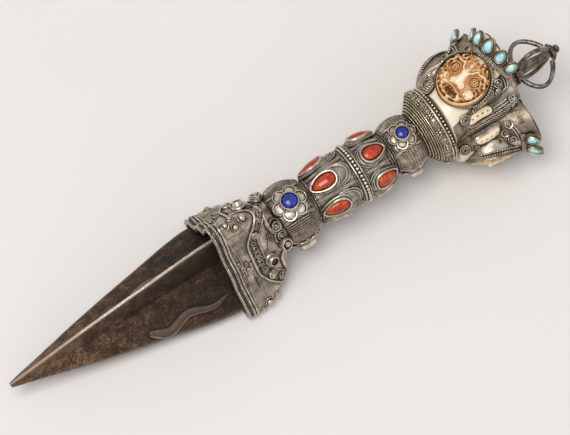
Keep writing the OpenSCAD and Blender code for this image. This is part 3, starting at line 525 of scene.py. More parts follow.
def laid(surface, angle, height, flat, out=0.0, flip=1):
    # lays flat points, in mm round a spot, on the surface
    around = (surface(angle + 1, height) - surface(angle - 1, height)).length / 2
    rise = (surface(angle, height + 0.5) - surface(angle, height - 0.5)).length
    return [raised(surface, angle + flip * point[0] / around, height + point[1] / rise,
                   out + (point[2] if len(point) > 2 else 0)) for point in flat]


def standing(surface, angle, height, out=0.0):
    # a matrix whose Z points out of the surface and whose Y points along the dagger
    sideways, outward = waysAt(surface, angle, height)
    headway = outward.cross(sideways).normalized()
    turn = Matrix((headway.cross(outward), headway, outward)).transposed().to_4x4()
    return Matrix.Translation(surface(angle, height) + outward * out) @ turn


def outOf(place):
    # the outward way for a rope that is laid in a standing matrix
    return lambda point: place.to_3x3() @ Vector((0, 0, 1))


def circle(radius, count=20):
    return [tuple(polar(360 * i / count, radius, 0))[:2] for i in range(count)]


def spiral(turns, inner, outer, start=0.0, hand=1, steps=14):
    return [tuple(polar(start + hand * 360 * turns * share, inner + (outer - inner) * share, 0))[:2]
            for share in shares(max(3, round(turns * steps)))]


def egg(length, width, taper=0.22, cusp=0.0, count=36):
    # an egg outline, wide or cusped towards +Y
    found = []
    for i in range(count):
        angle = 2 * math.pi * i / count
        up = math.cos(angle)
        found.append((width / 2 * math.sin(angle) * (1 + taper * up),
                      length / 2 * up + cusp * max(0.0, up) ** 7))
    return found


# The places along the handle, in mm from the blade's point

heights = {"mouth": 109.5, "lowerKnot": 141.5, "lowerNeck": 160.1, "lowerGrip": 162.1, "waist": 183.5,
           "upperGrip": 187.9, "upperNeck": 202.3, "upperKnot": 204.3, "collar": 220.1, "head": 231.9,
           "face": 250.7, "cap": 267.7, "foot": 272.1, "prongs": 275.5, "tip": 294.9}
bore = 3.1  # radius of the passage for the blade's tang


# Blade: forged iron, three fins, each filed bright along its edge

bladeForm = {
    "edge": [(0, 1.3), (18.6, 6.4), (37.2, 11.8), (55.8, 16.6), (74.5, 20.8), (93.1, 25.1),
             (104, 26.9), (110, 27)],  # a fin's reach at heights above the point
    "shoulder": [(113.4, 25.0), (118.2, 9.6)],
    "edgeHalf": 0.8,  # half the thickness of a fin's edge
    "hollow": 2.6,  # radius of the valley between two fins
    "flankPoints": 11,
    "wander": 0.006,  # how unevenly the edge was hammered
    "dents": 0.16,
    "twist": 2,
    "tang": [(0, 106), (3.0, 106), (3.0, 268.7), (0, 268.7)],  # radius and height
    "brightest": (62, 38),  # the height where the edge's painted sheen is brightest, and how far that reaches
}


def finTurn(fin):
    return turnBy(120 * fin + bladeForm["twist"], "Z")


def finRadius(height):
    (full, reach), (low, wide), (high, narrow) = bladeForm["edge"][-1:] + bladeForm["shoulder"]
    if height <= full:
        return smoothly(bladeForm["edge"], height)
    if height <= low:
        return reach + (wide - reach) * (height - full) / (low - full)
    return wide + (narrow - wide) * min(1.0, (height - low) / (high - low))


def bladeSection(height):
    # the outline of the three fins at a height; the flat flanks of two fins meet in a crease
    radius = finRadius(height) * (1 + bladeForm["wander"] * noise.noise(Vector((0, 3, height * 0.3))))
    edge = min(bladeForm["edgeHalf"], radius * 0.34)
    valley = min(bladeForm["hollow"], radius * 0.6)
    root, crease = valley * 0.5, valley * 0.866
    flank = [(root + (radius - 0.3 - root) * share, edge + (crease - edge) * (1 - share) ** 1.25)
             for share in shares(bladeForm["flankPoints"])[1:]]
    ring = [(root, -crease)] + [(reach, -half) for reach, half in flank]
    ring += [(radius, -edge * 0.62), (radius, edge * 0.62)] + flank[::-1]
    section = []
    for fin in range(3):
        for reach, half in ring:
            flankNoise = Vector((reach * 0.22, height * 0.13, fin * 7 + (3 if half > 0 else 0)))
            fade = min(1.0, height / 12) * min(1.0, abs(half) / 0.8)
            dent = bladeForm["dents"] * noise.fractal(flankNoise, 1.0, 2.0, 3) * fade
            section.append(finTurn(fin) @ Vector((reach, half + math.copysign(dent, half), height)))
    return section


bm = bmesh.new()
levels = [0.0, 0.5] + [1.1 * i for i in range(1, 101)]
levels += [height for height, reach in bladeForm["shoulder"]]
loft(bm, [bladeSection(height) for height in levels])
filed = bm.verts.layers.float.new("filed")
for corner in bm.verts:
    fromEdge = finRadius(corner.co.z) - math.hypot(corner.co.x, corner.co.y)
    # the filed edge is real; the hump along the length adds a painted sheen where the edge would catch
    # the light
    bright = 0.5 + 0.5 * hump(corner.co.z - bladeForm["brightest"][0], 0, bladeForm["brightest"][1], 1)
    corner[filed] = max(0.0, min(1.0, 1.1 - fromEdge / 0.5)) * bright if corner.co.z > 1 else 0.4
turned(bm, bladeForm["tang"], 24)
makePiece("blade", bm, iron, ["blade"], sharp=24)

snakeForm = {
    "foot": 66.2, "length": 40.6, "half": 2.35, "waves": 1.75, "swing": 2.2, "high": 1.25,
    "reach": (15.39, 1.89),  # its distance from the axis, and what that gains along its length
    "off": 1.12,  # how far its belly lies from the fin's middle plane
    "section": [(-1, 0), (-1, 0.5), (-0.86, 0.9), (-0.66, 0.78), (-0.45, 0.95), (0, 1.0),
                (0.45, 0.95), (0.66, 0.78), (0.86, 0.9), (1, 0.5), (1, 0)],
}


def snakeMiddle(share):
    wave = math.sin(math.radians(360 * snakeForm["waves"] * share - 50))
    near, gain = snakeForm["reach"]
    return Vector((near + gain * share + snakeForm["swing"] * (1 - 0.6 * share) * wave, 0,
                   snakeForm["foot"] + share * snakeForm["length"]))


def snakeHalf(share):
    # a head that widens quickly, and a body that thins towards the mount
    head = 0.45 + 0.6 * math.sqrt(share / 0.12)
    return snakeForm["half"] * (head if share < 0.12 else 1.05 - 0.78 * share ** 2)


bm = bmesh.new()
for fin in range(3):
    rings = []
    for share in shares(72):
        middle = snakeMiddle(share)
        ahead = (snakeMiddle(min(1, share + 0.01)) - snakeMiddle(max(0, share - 0.01))).normalized()
        side = Vector((ahead.z, 0, -ahead.x)) * snakeHalf(share)
        high = snakeForm["high"] * min(1.0, 0.5 + 5 * share) * (1 + 0.12 * math.sin(share * 190))
        rings.append([finTurn(fin) @ (middle + side * across
                                      - Vector((0, snakeForm["off"] + up * high, 0)))
                      for across, up in snakeForm["section"]])
    loft(bm, rings)
    for side in (-0.75, 0.75):
        eyeSpot = snakeMiddle(0.045) + Vector((side, -snakeForm["off"] - 1.15, 0))
        bead(bm, finTurn(fin) @ eyeSpot, 0.3, 8)
filed = bm.verts.layers.float.new("filed")
for corner in bm.verts:
    # the edges of a snake are rubbed bright
    fin = round((math.degrees(math.atan2(corner.co.y, corner.co.x)) - bladeForm["twist"]) / 120)
    flat = finTurn(fin).inverted() @ corner.co
    share = max(0.0, min(1.0, (flat.z - snakeForm["foot"]) / snakeForm["length"]))
    across = abs(flat.x - snakeMiddle(share).x) / snakeHalf(share)
    corner[filed] = 0.62 if across > 0.8 and -flat.y > snakeForm["off"] + 0.4 else 0.24
makePiece("snakes", bm, iron, ["snakes"], sharp=50)


# Mount: a sheet silver makara head on every fin, with soldered wires and curls

mountForm = {
    "valley": 16.6, "top": 13.0, "lobe": 31.8, "spread": 16.5, "long": 32.0, "wall": 1.25,
    "roof": 0.93,  # share of the length where the casing closes round the tang
    "reliefs": [  # degrees from the lobe, share of the length, height in mm, then width and length
        (30, 0.36, 0.9, 11, 0.16), (44, 0.66, 0.7, 8, 0.09), (19, 0.57, 0.7, 7, 0.1),
        (60, 0.5, -0.6, 6, 0.4), (12, 0.85, 0.6, 9, 0.06)],
}


def toLobe(angle):
    return min(angle % 120, 120 - angle % 120)


def lobeShare(angle):
    return math.exp(-(toLobe(angle) / mountForm["spread"]) ** 2)


def mountRadius(angle, share):
    left = 0.96 + 0.04 * share / 0.12 if share < 0.12 else 1 - ((share - 0.12) / 0.88) ** 2.6
    radius = mountForm["valley"] + (mountForm["top"] - mountForm["valley"]) * share
    radius += 1.2 * math.sin(math.pi * share)
    radius += (mountForm["lobe"] - mountForm["valley"]) * left * lobeShare(angle)
    for spot, high, out, wide, tall in mountForm["reliefs"]:
        radius += out * hump(toLobe(angle) - spot, share - high, wide, tall)
    return radius


def mountHeight(share):
    return heights["mouth"] + share * mountForm["long"]


def mountAt(angle, height):
    share = max(0.0, min(1.0, (height - heights["mouth"]) / mountForm["long"]))
    return polar(angle, mountRadius(angle, share), height)


def onMount(angle, share, out):
    return raised(mountAt, angle, mountHeight(share), out)


def drawnOnMount(angle, share, flat, out, flip=1):
    return laid(mountAt, angle, mountHeight(share), flat, out, flip)


def aroundMount(low, climb, out, count=360):
    # a path round the mount: its share of the length between the lobes, and its climb over them
    return [onMount(angle, low + climb * lobeShare(angle), out)
            for angle in [360 * i / count for i in range(count)]]


bm = bmesh.new()
rings = [[mountAt(k, mountHeight(share)) for k in range(360)] for share in shares(46)]
for share in (1, mountForm["roof"]):
    rings.append([polar(k, bore, mountHeight(share)) for k in range(360)])
for share in [mountForm["roof"] * (1 - down) for down in shares(11)]:
    rings.append([polar(k, mountRadius(k, share) - mountForm["wall"], mountHeight(share))
                  for k in range(360)])
loft(bm, rings + rings[:1], capped=False)
makePiece("mountSheet", bm, silverSheet, ["mount_shell"], sharp=60)

ropeForm = {"shares": (0.02, 0.1), "radius": 0.86, "pitch": 2.4, "lift": 0.38}
bm = bmesh.new()
for share in ropeForm["shares"]:
    path = aroundMount(share, 0, ropeForm["lift"])
    addWires(bm, twisted(path, ropeForm["radius"], ropeForm["pitch"], True), 2)
makePiece("mouthRopes", bm, silverWire, ["mouth_wires"], sharp=60, mend=False)

wireForm = {"low": 0.41, "climb": 0.29, "radius": 0.62, "lift": 0.42}
bm = bmesh.new()
addWires(bm, [(aroundMount(wireForm["low"], wireForm["climb"], wireForm["lift"]), wireForm["radius"],
               True)], 2)
makePiece("raisedWire", bm, silverWire, ["mount_wire"], sharp=60, mend=False)

scrollForm = {
    # each wire's share of the length between the lobes, its climb over them, its lift and radius
    "wires": [(0.15, 0, 0.35, 0.5), (0.24, -0.1, 0.2, 0.3), (0.21, -0.03, 0.15, 0.2),
              (0.59, 0.265, 0.2, 0.36)],
    "chain": {"low": 0.51, "climb": 0.275, "step": 10, "ring": 1.65, "wire": 0.34},
    "spirals": [(25, 0.93, 2.9, 1), (48, 0.94, 2.6, -1)],  # angle, share, radius, hand
    "spiralTurns": 2.2,
    "ringCurl": (-54, 0.95, 2.7, 2.2),  # angle, share, radius, height
    "nostril": (19, 0.585, 1.9, 1.8),  # angle, share, radius, turns
    "bosses": [(0, 0.52, 1.7), (4.6, 0.37, 1.45), (-4.6, 0.37, 1.45), (0, 0.25, 1.2)],
    "clusters": [(60, 0.22, 1.5), (53, 0.3, 1.1), (67, 0.3, 1.1), (60, 0.36, 1.1), (47, 0.2, 1.0),
                 (73, 0.2, 1.0)],
    "cheekLines": 20, "cheekWire": 0.19,
    "foldLifts": (0, 0.03, 0.06),
}
bm = bmesh.new()
runs = [(aroundMount(low, climb, lift), radius, True)
        for low, climb, lift, radius in scrollForm["wires"]]
chain = scrollForm["chain"]
for i in range(round(360 / chain["step"])):
    # a chain of open curls between the raised wire and a thinner one
    angle = i * chain["step"]
    share = chain["low"] + chain["climb"] * lobeShare(angle)
    path = spiral(1.35, 0.55, chain["ring"], 40 + 180 * (i % 2), 1 if i % 2 else -1)
    runs.append((drawnOnMount(angle, share, path, 0.35), chain["wire"], False))
    bead(bm, onMount(angle + chain["step"] / 2, share + 0.03, 0.25), 0.42, 8)
for middle in (0, 120, 240):
    for spot, share, radius in scrollForm["bosses"]:
        bead(bm, onMount(middle + spot, share, 0.25), radius, 14)
        runs.append((drawnOnMount(middle + spot, share, circle(radius + 0.55), 0.15), 0.34, True))
    for spot, share, radius, hand in scrollForm["spirals"]:
        path = spiral(scrollForm["spiralTurns"], 0.4, radius, 40, hand)
        for lift in (0.5, 1.15):
            runs.append((drawnOnMount(middle + spot, share, path, lift), 0.42, False))
        bead(bm, onMount(middle + spot, share, 1.3), 0.75, 12)
        runs.append((drawnOnMount(middle + spot, share, circle(radius + 0.45, 24), 0.4), 0.45, True))
    spot, share, radius, high = scrollForm["ringCurl"]
    for lift, wire in ((0.4, 0.5), (1.2, 0.5), (high, 0.62), (high + 0.7, 0.5)):
        runs.append((drawnOnMount(middle + spot, share, circle(radius, 24), lift), wire, True))
    bead(bm, onMount(middle + spot, share, high + 0.1), 1.75, 18)
    for side in (-1, 1):
        spot, share, radius, turns = scrollForm["nostril"]
        path = [(x, y - 0.3) for x, y in spiral(turns, 0.35, radius, -60, -1)]
        runs.append((drawnOnMount(middle + side * spot, share, path, 0.7, side),
                     [0.5 + 0.25 * i / len(path) for i in range(len(path))], False))
        bead(bm, onMount(middle + side * spot, share, 0.6), 0.7, 12)
        # the cheek: fine combed lines that fan out from the snout
        for i in range(scrollForm["cheekLines"]):
            path = [onMount(middle + side * (10 + reach * (16 + 0.6 * i)),
                            0.16 + 0.018 * i + reach * (0.03 + 0.0035 * i), 0.03)
                    for reach in shares(6)]
            radii = [scrollForm["cheekWire"] * (1 - reach ** 2) + 0.05 for reach in shares(6)]
            runs.append((path, radii, False))
        # the brow: a smooth fold from the snout back over the eye, and three wires behind it
        path = [onMount(middle + side * (2 + 33 * reach),
                        0.84 - 0.03 * math.sin(math.pi * reach) + 0.06 * reach ** 2, 0.35)
                for reach in shares(24)]
        radii = [0.35 + 0.75 * math.sin(math.pi * min(1, (i + 3) / 28)) for i in range(25)]
        runs.append((path, radii, False))
        for off in scrollForm["foldLifts"]:
            path = [onMount(middle + side * (31 + 20 * reach), 0.76 - 0.07 * reach ** 2 + off, 0.25)
                    for reach in shares(16)]
            runs.append((path, 0.32, False))
    for spot, share, radius in scrollForm["clusters"]:
        # small curls in the valley between two lobes
        path = spiral(1.6, 0.25, radius, 200 if spot < 60 else -20, 1 if spot < 60 else -1)
        runs.append((drawnOnMount(middle + spot, share, path, 0.3), 0.27, False))
        bead(bm, onMount(middle + spot, share, 0.35), 0.42, 8)
addWires(bm, runs, 1)
makePiece("mountScrolls", bm, silverWire, ["makara_curls", "makara_noses"], sharp=60,
          mend=False)

eyeForm = {"spot": -44, "share": 0.66, "radius": 1.9, "tall": 3.5, "turn": -14}
bm, stones = bmesh.new(), bmesh.new()
radius, tall = eyeForm["radius"], eyeForm["tall"]
for middle in (0, 120, 240):
    place = standing(mountAt, middle + eyeForm["spot"], mountHeight(eyeForm["share"]), -0.1)
    place = place @ turnBy(eyeForm["turn"], "Y")
    turnedAt(bm, place, [(radius, 0.3), (radius, tall - 0.1), (radius + 0.2, tall),
                         (radius + 0.45, tall - 0.15), (radius + 0.6, 1.1), (radius + 1.1, 0.9),
                         (radius + 1.3, 0.0)], 28)
    stoneAt(stones, place @ shift(0, 0, tall - 1.2), 2 * radius, 2 * radius, 0.9, around=20)
makePiece("eyeTubes", bm, silverWire, ["makara_eye_bezels"], sharp=60)
makePiece("eyeStones", stones, garnet, ["makara_eyes"], sharp=60)


# Knots: a ball with three flowers round lapis stones, and basket work between them

knotForms = [
    {"name": "lower", "low": heights["lowerKnot"], "long": 18.6, "ball": 15.0, "stone": 7.6,
     "slants": (0,)},
    {"name": "upper", "low": heights["upperKnot"], "long": 15.8, "ball": 13.2, "stone": 6.0,
     "slants": (-12, 12)},
]
knotWork = {
    "ribs": 6,  # on each side of the middle between two flowers
    "ribStep": 4.7, "ribReach": 31,  # degrees
    "fold": 33,  # degrees from the middle to the smooth fold beside a flower
    "swell": 0.35,
    "rims": [(0.35, 0.42), (1.15, 0.3)],  # each end rope's step from the end, and its radius
    "petals": 6, "petalReach": 0.76, "petalSize": 0.38, "petalRim": 0.4,  # shares of the stone
}
gripTwist = 3  # degrees by which the handle is turned against the mount
for form in knotForms:
    ball, stone, half = form["ball"], form["stone"], form["long"] / 2
    middle = form["low"] + half
    node = "knot_" + form["name"]

    def knotAt(angle, height):
        # three swelling lobes between the flowers
        up = max(-half, min(half, height - middle))
        swell = knotWork["swell"] * math.cos(math.radians(3 * (angle - gripTwist) + 180))
        radius = math.sqrt(ball ** 2 - up ** 2) - 0.35 + swell * math.cos(math.pi * up / half / 2)
        return polar(angle, radius, height)

    def ballAt(angle, height):
        return polar(angle, math.sqrt(max(1, ball ** 2 - (height - middle) ** 2)), height)

    bm = bmesh.new()
    rings = [[polar(k * 3, bore, middle - half) for k in range(120)]]
    rings += [[knotAt(k * 3, middle - half + form["long"] * share) for k in range(120)]
              for share in shares(26)]
    rings.append([polar(k * 3, bore, middle + half) for k in range(120)])
    loft(bm, rings, capped=False)
    mendSeams(bm)
    runs = []
    for gap in [120 * lobe + 60 + gripTwist for lobe in range(3)]:
        for slant in form["slants"]:
            # straight ribs swell and thin like woven wire, slanting ones cross
            for i in range(-knotWork["ribs"], knotWork["ribs"] + 1):
                path, radii = [], []
                for k in range(31):
                    rise = k / 15 - 1
                    at = i * knotWork["ribStep"] * (1 - 0.25 * rise ** 2) + slant * rise
                    if abs(at) < knotWork["ribReach"]:
                        path.append(raised(knotAt, gap + at, middle + half * 0.97 * rise, 0.05))
                        radii.append(0.42 if slant else 0.62 if (k + i) % 2 else 0.3)
                runs.append((path, radii, False))
        for off in (-knotWork["fold"], knotWork["fold"]):
            # a smooth fold beside a flower
            path = [raised(knotAt, gap + off * (1 - 0.3 * rise ** 2), middle + half * 0.95 * rise,
                           0.15) for rise in [k / 12 - 1 for k in range(25)]]
            radii = [0.5 + 0.55 * math.sin(math.pi * (k + 2) / 28) for k in range(25)]
            runs.append((path, radii, False))
    for end in (-1, 1):
        for step, radius in knotWork["rims"]:
            path = [raised(knotAt, 3 * k, middle + end * (half - step), 0.35) for k in range(120)]
            runs += twisted(path, radius, 1.5, True)
    addWires(bm, runs, 1)
    makePiece(form["name"] + "Knot", bm, silverSheet, [node], sharp=50, mend=False)

    flowers, bezels, stones = bmesh.new(), bmesh.new(), bmesh.new()
    runs = []
    centre = Vector((0, 0, middle))
    radius = stone / 2
    for at in [120 * lobe + gripTwist for lobe in range(3)]:
        place = standing(ballAt, at, middle)
        for i in range(knotWork["petals"]):
            flat = polar(360 / knotWork["petals"] * (i + 0.5), stone * knotWork["petalReach"], 0)
            outward = (place @ flat - centre).normalized()
            here = centre + outward * (ball + 0.1)
            bead(flowers, here, stone * knotWork["petalSize"], 20, 0.2, outward)
            turn = outward.to_track_quat("Z", "Y").to_matrix()
            runs.append(([here + outward * 0.5 + turn @ Vector((x, y, 0))
                          for x, y in circle(stone * knotWork["petalRim"], 22)], 0.38, True))
        turnedAt(bezels, place, [(radius + 0.05, 0.5), (radius + 0.02, 2.6), (radius + 0.25, 2.85),
                                 (radius + 0.6, 2.65), (radius + 0.75, 1.2), (radius + 1.15, 0.9),
                                 (radius + 1.2, 0.2)], 40)
        ring = [place @ Vector((x, y, 0.85)) for x, y in circle(radius + 1.0, 40)]
        runs += twisted(ring, 0.4, 1.2, True, outOf(place))
        stoneAt(stones, place @ shift(0, 0, 1.6), stone, stone, stone * 0.27, around=36)
    addWires(flowers, runs, 1)
    makePiece(form["name"] + "Flowers", flowers, silverBright, [node + "_flowers"],
              sharp=60, mend=False)
    makePiece(form["name"] + "FlowerBezels", bezels, silverBright, [node + "_bezels"],
              sharp=50)
    makePiece(form["name"] + "Lapis", stones, lapis, [node + "_lapis"], sharp=70)


# Grip: two halves of a lotus on a beaded waist band

lotusForms = [
    {"name": "lower", "neck": heights["lowerGrip"], "way": 1, "long": 21.4, "stone": 12.4,
     "cusp": 0.0},
    {"name": "upper", "neck": heights["upperNeck"], "way": -1, "long": 14.4, "stone": 10.8,
     "cusp": 1.4},
]
lotusWork = {
    "neck": 10.0, "swell": 3.0,  # radius at the neck, and what the grip gains towards the waist
    "petal": 10.2, "bezel": 6.6, "coral": 6.1, "taper": 0.22,  # widths
    "pillow": [(1.0, 0.0), (0.98, 0.45), (0.93, 0.62), (0.8, 0.72), (0.6, 0.9), (0.3, 0.95)],
    "leaves": [(-0.75, 0.28), (0, 0.42), (0.75, 0.28)],
    "wall": [(1.75, 0.7), (1.6, 1.25), (1.3, 1.35), (1.05, 1.1), (0.85, 1.1), (0.75, 2.2),
             (0.45, 2.7), (0.05, 2.75), (-0.3, 2.45), (-0.4, 1.4)],  # outwards from the stone, and up
}
for form in lotusForms:
    long, stone, way, neck = form["long"], form["stone"], form["way"], form["neck"]
    node = "grip_" + form["name"]

    def gripAt(angle, height):
        up = max(0.0, min(long, way * (height - neck)))
        swell = math.sin(math.radians(90 * min(1.0, up / (0.72 * long)))) ** 0.8 if up > 0 else 0.0
        return polar(angle, lotusWork["neck"] + lotusWork["swell"] * swell, height)

    bm = bmesh.new()
    levels = [neck + way * long * share for share in shares(16)]
    turned(bm, [(bore, neck)] + [(gripAt(0, height).x, height) for height in levels]
           + [(bore, neck + way * long)], 96)
    makePiece(form["name"] + "Grip", bm, silverSheet, [node], sharp=50)

    petals, bezels, stones = bmesh.new(), bmesh.new(), bmesh.new()
    runs, bezelRuns = [], []
    petalMiddle = neck + way * (long * 0.5 + 0.1)
    stoneMiddle = neck + way * (1.2 + stone / 2)
    outline = egg(long * 0.92, lotusWork["petal"], 0.28, form["cusp"], 44)

    def scaled(share, up):
        return [(x * share, way * y * share, up) for x, y in outline]

    def roundStone(off):
        # the stone's outline, grown by off
        return [(x, way * y) for x, y in egg(stone + 2 * off, lotusWork["bezel"] + 2 * off,
                                             lotusWork["taper"], 0.0, 40)]

    for at in [60 * i + gripTwist for i in range(6)]:
        loft(petals, [laid(gripAt, at, petalMiddle, scaled(share, up))
                      for share, up in lotusWork["pillow"]], capped=False)
        runs.append((laid(gripAt, at, petalMiddle, scaled(1.0, 0.55)), 0.42, True))
        runs.append((laid(gripAt, at, petalMiddle, scaled(0.86, 0.85)), 0.38, True))
        for x, y in outline[-8:] + outline[:9]:
            # the field above the stone is ribbed
            path = [(x * share, way * y * share, 0.85) for share in (0.82, 0.72, 0.6, 0.5)]
            runs.append((laid(gripAt, at, petalMiddle, path), [0.16, 0.2, 0.2, 0.12], False))
        for off, wide in lotusWork["leaves"]:
            # straight leaves between the petals
            path = [(off * (1 - 0.4 * abs(k / 5 - 1)), way * long * 0.46 * (k / 5 - 1), 0.45)
                    for k in range(11)]
            radii = [wide * (0.35 + 0.9 * math.sin(math.pi * (k + 1) / 12)) for k in range(11)]
            runs.append((laid(gripAt, at + 30, petalMiddle, path), radii, False))
        loft(bezels, [laid(gripAt, at, stoneMiddle, roundStone(off), up)
                      for off, up in lotusWork["wall"]], capped=False)
        bezelRuns.append((laid(gripAt, at, stoneMiddle, roundStone(1.1), 1.3), 0.3, True))
        place = standing(gripAt, at, stoneMiddle, 1.5)
        stoneAt(stones, place, stone - 0.5, lotusWork["coral"], 1.75, lotusWork["taper"] * way, 36)
    for step, radius in ((0.45, 0.4), (long - 0.5, 0.35)):
        path = [raised(gripAt, 3 * k, neck + way * step, 0.3) for k in range(120)]
        runs += twisted(path, radius, 1.3, True)
    mendSeams(petals)
    mendSeams(bezels)
    addWires(petals, runs, 1)
    addWires(bezels, bezelRuns, 1)
    makePiece(form["name"] + "Petals", petals, silverWire, [node + "_petals"], sharp=50,
              mend=False)
    makePiece(form["name"] + "CoralBezels", bezels, silverWire, [node + "_bezels"],
              sharp=50, mend=False)
    makePiece(form["name"] + "Corals", stones, coral, [node + "_corals"], sharp=70)


def ringPath(radius, height, count=180):
    return [polar(360 * i / count, radius, height) for i in range(count)]


neckForm = {"radius": 9.6, "tall": 2, "rope": 0.7, "pitch": 1.8, "grain": 0.42, "grains": 48}
for name in ("lower", "upper"):
    # a neck between a knot and the grip: a twisted ring between two rows of grains
    low = heights[name + "Neck"]
    high = low + neckForm["tall"]
    bm = bmesh.new()
    turned(bm, [(bore, low), (neckForm["radius"], low), (neckForm["radius"], high), (bore, high)], 96)
    mendSeams(bm)
    addWires(bm, twisted(ringPath(neckForm["radius"] + 0.3, (low + high) / 2), neckForm["rope"],
                         neckForm["pitch"], True), 2)
    for i in range(neckForm["grains"]):
        for height in (low + 0.1, high - 0.1):
            bead(bm, polar(360 / neckForm["grains"] * i, neckForm["radius"] + 0.3, height),
                 neckForm["grain"], 8)
    makePiece(name + "Neck", bm, silverWire, ["neck_ring_" + name], sharp=60,
              mend=False)

waistForm = {"inner": 11.3, "radius": 13.6, "wire": 0.62, "bead": 0.85, "beads": 47}
low, high = heights["waist"], heights["upperGrip"]
bm = bmesh.new()
turned(bm, [(waistForm["inner"], low), (waistForm["radius"], low), (waistForm["radius"], high),
            (waistForm["inner"], high), (waistForm["inner"], low)], 96)
mendSeams(bm)
addWires(bm, [(ringPath(waistForm["radius"] + 0.05, height), waistForm["wire"], True)
              for height in (low + 0.7, high - 0.7)], 2)
makePiece("waistBand", bm, silverWire, ["waist_band"], sharp=50, mend=False)
bm = bmesh.new()
for place in ringPath(waistForm["radius"] + 0.75, (low + high) / 2, waistForm["beads"]):
    bead(bm, place, waistForm["bead"], 14)
makePiece("waistGrains", bm, silverBright, ["waist_beads"], sharp=60, mend=False)


# Collar: a flared seat with fine ropes, a band of flowers and a row of grains

collarForm = {
    "profile": [(0, 10.4), (0.7, 11.8), (2.36, 13.8), (4.25, 16.4), (5.9, 18.5), (7.3, 19.0),
                (8.7, 18.6), (9.45, 17.8), (11.8, 17.8)],
    "tall": 11.8,
    "ropes": [(0.55, 0.5), (1.5, 0.46), (2.4, 0.46), (3.25, 0.46), (4.05, 0.4), (9.15, 0.34),
              (11.45, 0.3)],  # heights and radii, as for the rings
    "rings": [(4.7, 0.26), (8.65, 0.42), (9.65, 0.28)],
    "flowers": 13, "flowerBand": 6.7, "petal": 0.6, "heart": 0.75,
    "grain": 0.75, "grains": 62, "grainRow": 10.5,
}
foot = heights["collar"]


def collarAt(angle, height):
    up = max(0.0, min(collarForm["tall"], height - foot))
    return polar(angle, smoothly(collarForm["profile"], up) - 0.15, height)


bm = bmesh.new()
levels = [foot + collarForm["tall"] * share for share in shares(40)]
turned(bm, [(bore, foot)] + [(collarAt(0, height).x, height) for height in levels]
       + [(bore, heights["head"])], 120)
makePiece("collarSeat", bm, silverSheet, ["collar"], sharp=60)

bm = bmesh.new()
runs = []
for up, radius in collarForm["ropes"]:
    path = [raised(collarAt, 2 * k, foot + up, radius * 0.75) for k in range(180)]
    runs += twisted(path, radius, radius * 4.4, True, perTurn=6)
for up, radius in collarForm["rings"]:
    path = [raised(collarAt, 2.5 * k, foot + up, radius * 0.6) for k in range(144)]
    runs.append((path, radius, True))
addWires(bm, runs, 1)
makePiece("collarRopes", bm, silverGilt, ["collar_wires"], sharp=60, mend=False)

bm = bmesh.new()
runs = []
middle = foot + collarForm["flowerBand"]
half = 180 / collarForm["flowers"]
for i in range(collarForm["flowers"]):
    at = 2 * half * i + 6
    bead(bm, raised(collarAt, at, middle, 0.25), collarForm["heart"], 12)
    for spot in laid(collarAt, at, middle, circle(1.25, 6), 0.15):
        bead(bm, spot, collarForm["petal"], 8)
    runs.append((laid(collarAt, at, middle, circle(1.95, 18), 0.1), 0.2, True))
    # between two flowers: a pair of curls and four grains
    for up, hand, start in ((0.75, 1, 200), (-0.75, -1, 160)):
        path = [(x, y + up) for x, y in spiral(1.5, 0.2, 1.05, start, hand)]
        runs.append((laid(collarAt, at + half, middle, path, 0.25), 0.26, False))
        bead(bm, raised(collarAt, at + half, middle + up, 0.3), 0.34, 8)
        for off in (-0.42, 0.42):
            bead(bm, raised(collarAt, at + half * (1 + off), middle + hand * 1.55, 0.1), 0.3, 6)
addWires(bm, runs, 1)
makePiece("collarScroll", bm, silverWire, ["collar_flowers"], sharp=60, mend=False)

bm = bmesh.new()
for i in range(collarForm["grains"]):
    bead(bm, raised(collarAt, 360 * i / collarForm["grains"], foot + collarForm["grainRow"], 0.6),
         collarForm["grain"], 12)
makePiece("collarGrains", bm, silverBright, ["collar_beads"], sharp=60, mend=False)


# Head: three carved bone heads back to back

headForm = {
    "out": 14.8, "lean": 17, "tilts": (12, 10, -10), "twist": 3, "radius": 13.0,
    "waist": 0.6,  # how far a head draws in at its foot
    "core": 14.6, "rim": 13.15, "lip": 13.9,
}
headNames = ("top", "right", "left")
headTurns = [turnBy(120 * i - headForm["twist"], "Z") for i in range(3)]
headPlaces = [turn @ shift(headForm["out"], 0, heights["face"]) @ turnBy(headForm["lean"], "Y")
              @ turnBy(tilt, "X") for turn, tilt in zip(headTurns, headForm["tilts"])]


def headSide(i, radius):
    return lambda angle, height: headPlaces[i] @ polar(angle, radius, height)


def columnRings(i, radius, angles, low, high, count):
    # rings round one head, cut level across the dagger
    side = headSide(i, radius)
    rings = []
    for share in shares(count):
        inner = headSide(i, radius - headForm["waist"] * hump(share, 0, 0.2, 1))
        level = low + (high - low) * share
        rings.append([inner(angle, (level - side(angle, 0).z) / (side(angle, 1).z - side(angle, 0).z))
                      for angle in angles])
    return rings


bm = bmesh.new()
for i in range(3):
    loft(bm, columnRings(i, headForm["radius"], range(0, 360, 4), heights["head"], heights["cap"], 24))
turned(bm, [(0, heights["head"]), (headForm["core"], heights["head"]),
            (headForm["core"], heights["cap"]), (0, heights["cap"])], 72)
makePiece("headCore", bm, bonePlain, ["head_core"], sharp=50)

faceForm = {
    "radius": 12.75, "ball": 28.0, "out": 16.0, "back": 5.0, "cells": 160,
    # places across and up the face, in mm from its middle
    "eye": (6.2, 2.5), "thirdEye": 7.4, "nostril": (2.5, -2.5), "cheek": (7.7, -3.6),
    "mouth": (-1.0, -7.4), "mouthHalf": (4.9, 2.0), "fang": (3.9, -7.4), "chin": -11.2,
    "flames": 0.36, "ripples": 0.22, "jawRim": 0.5,
}


def between(low, high, x):
    return max(0.0, min(1.0, (x - low) / (high - low)))


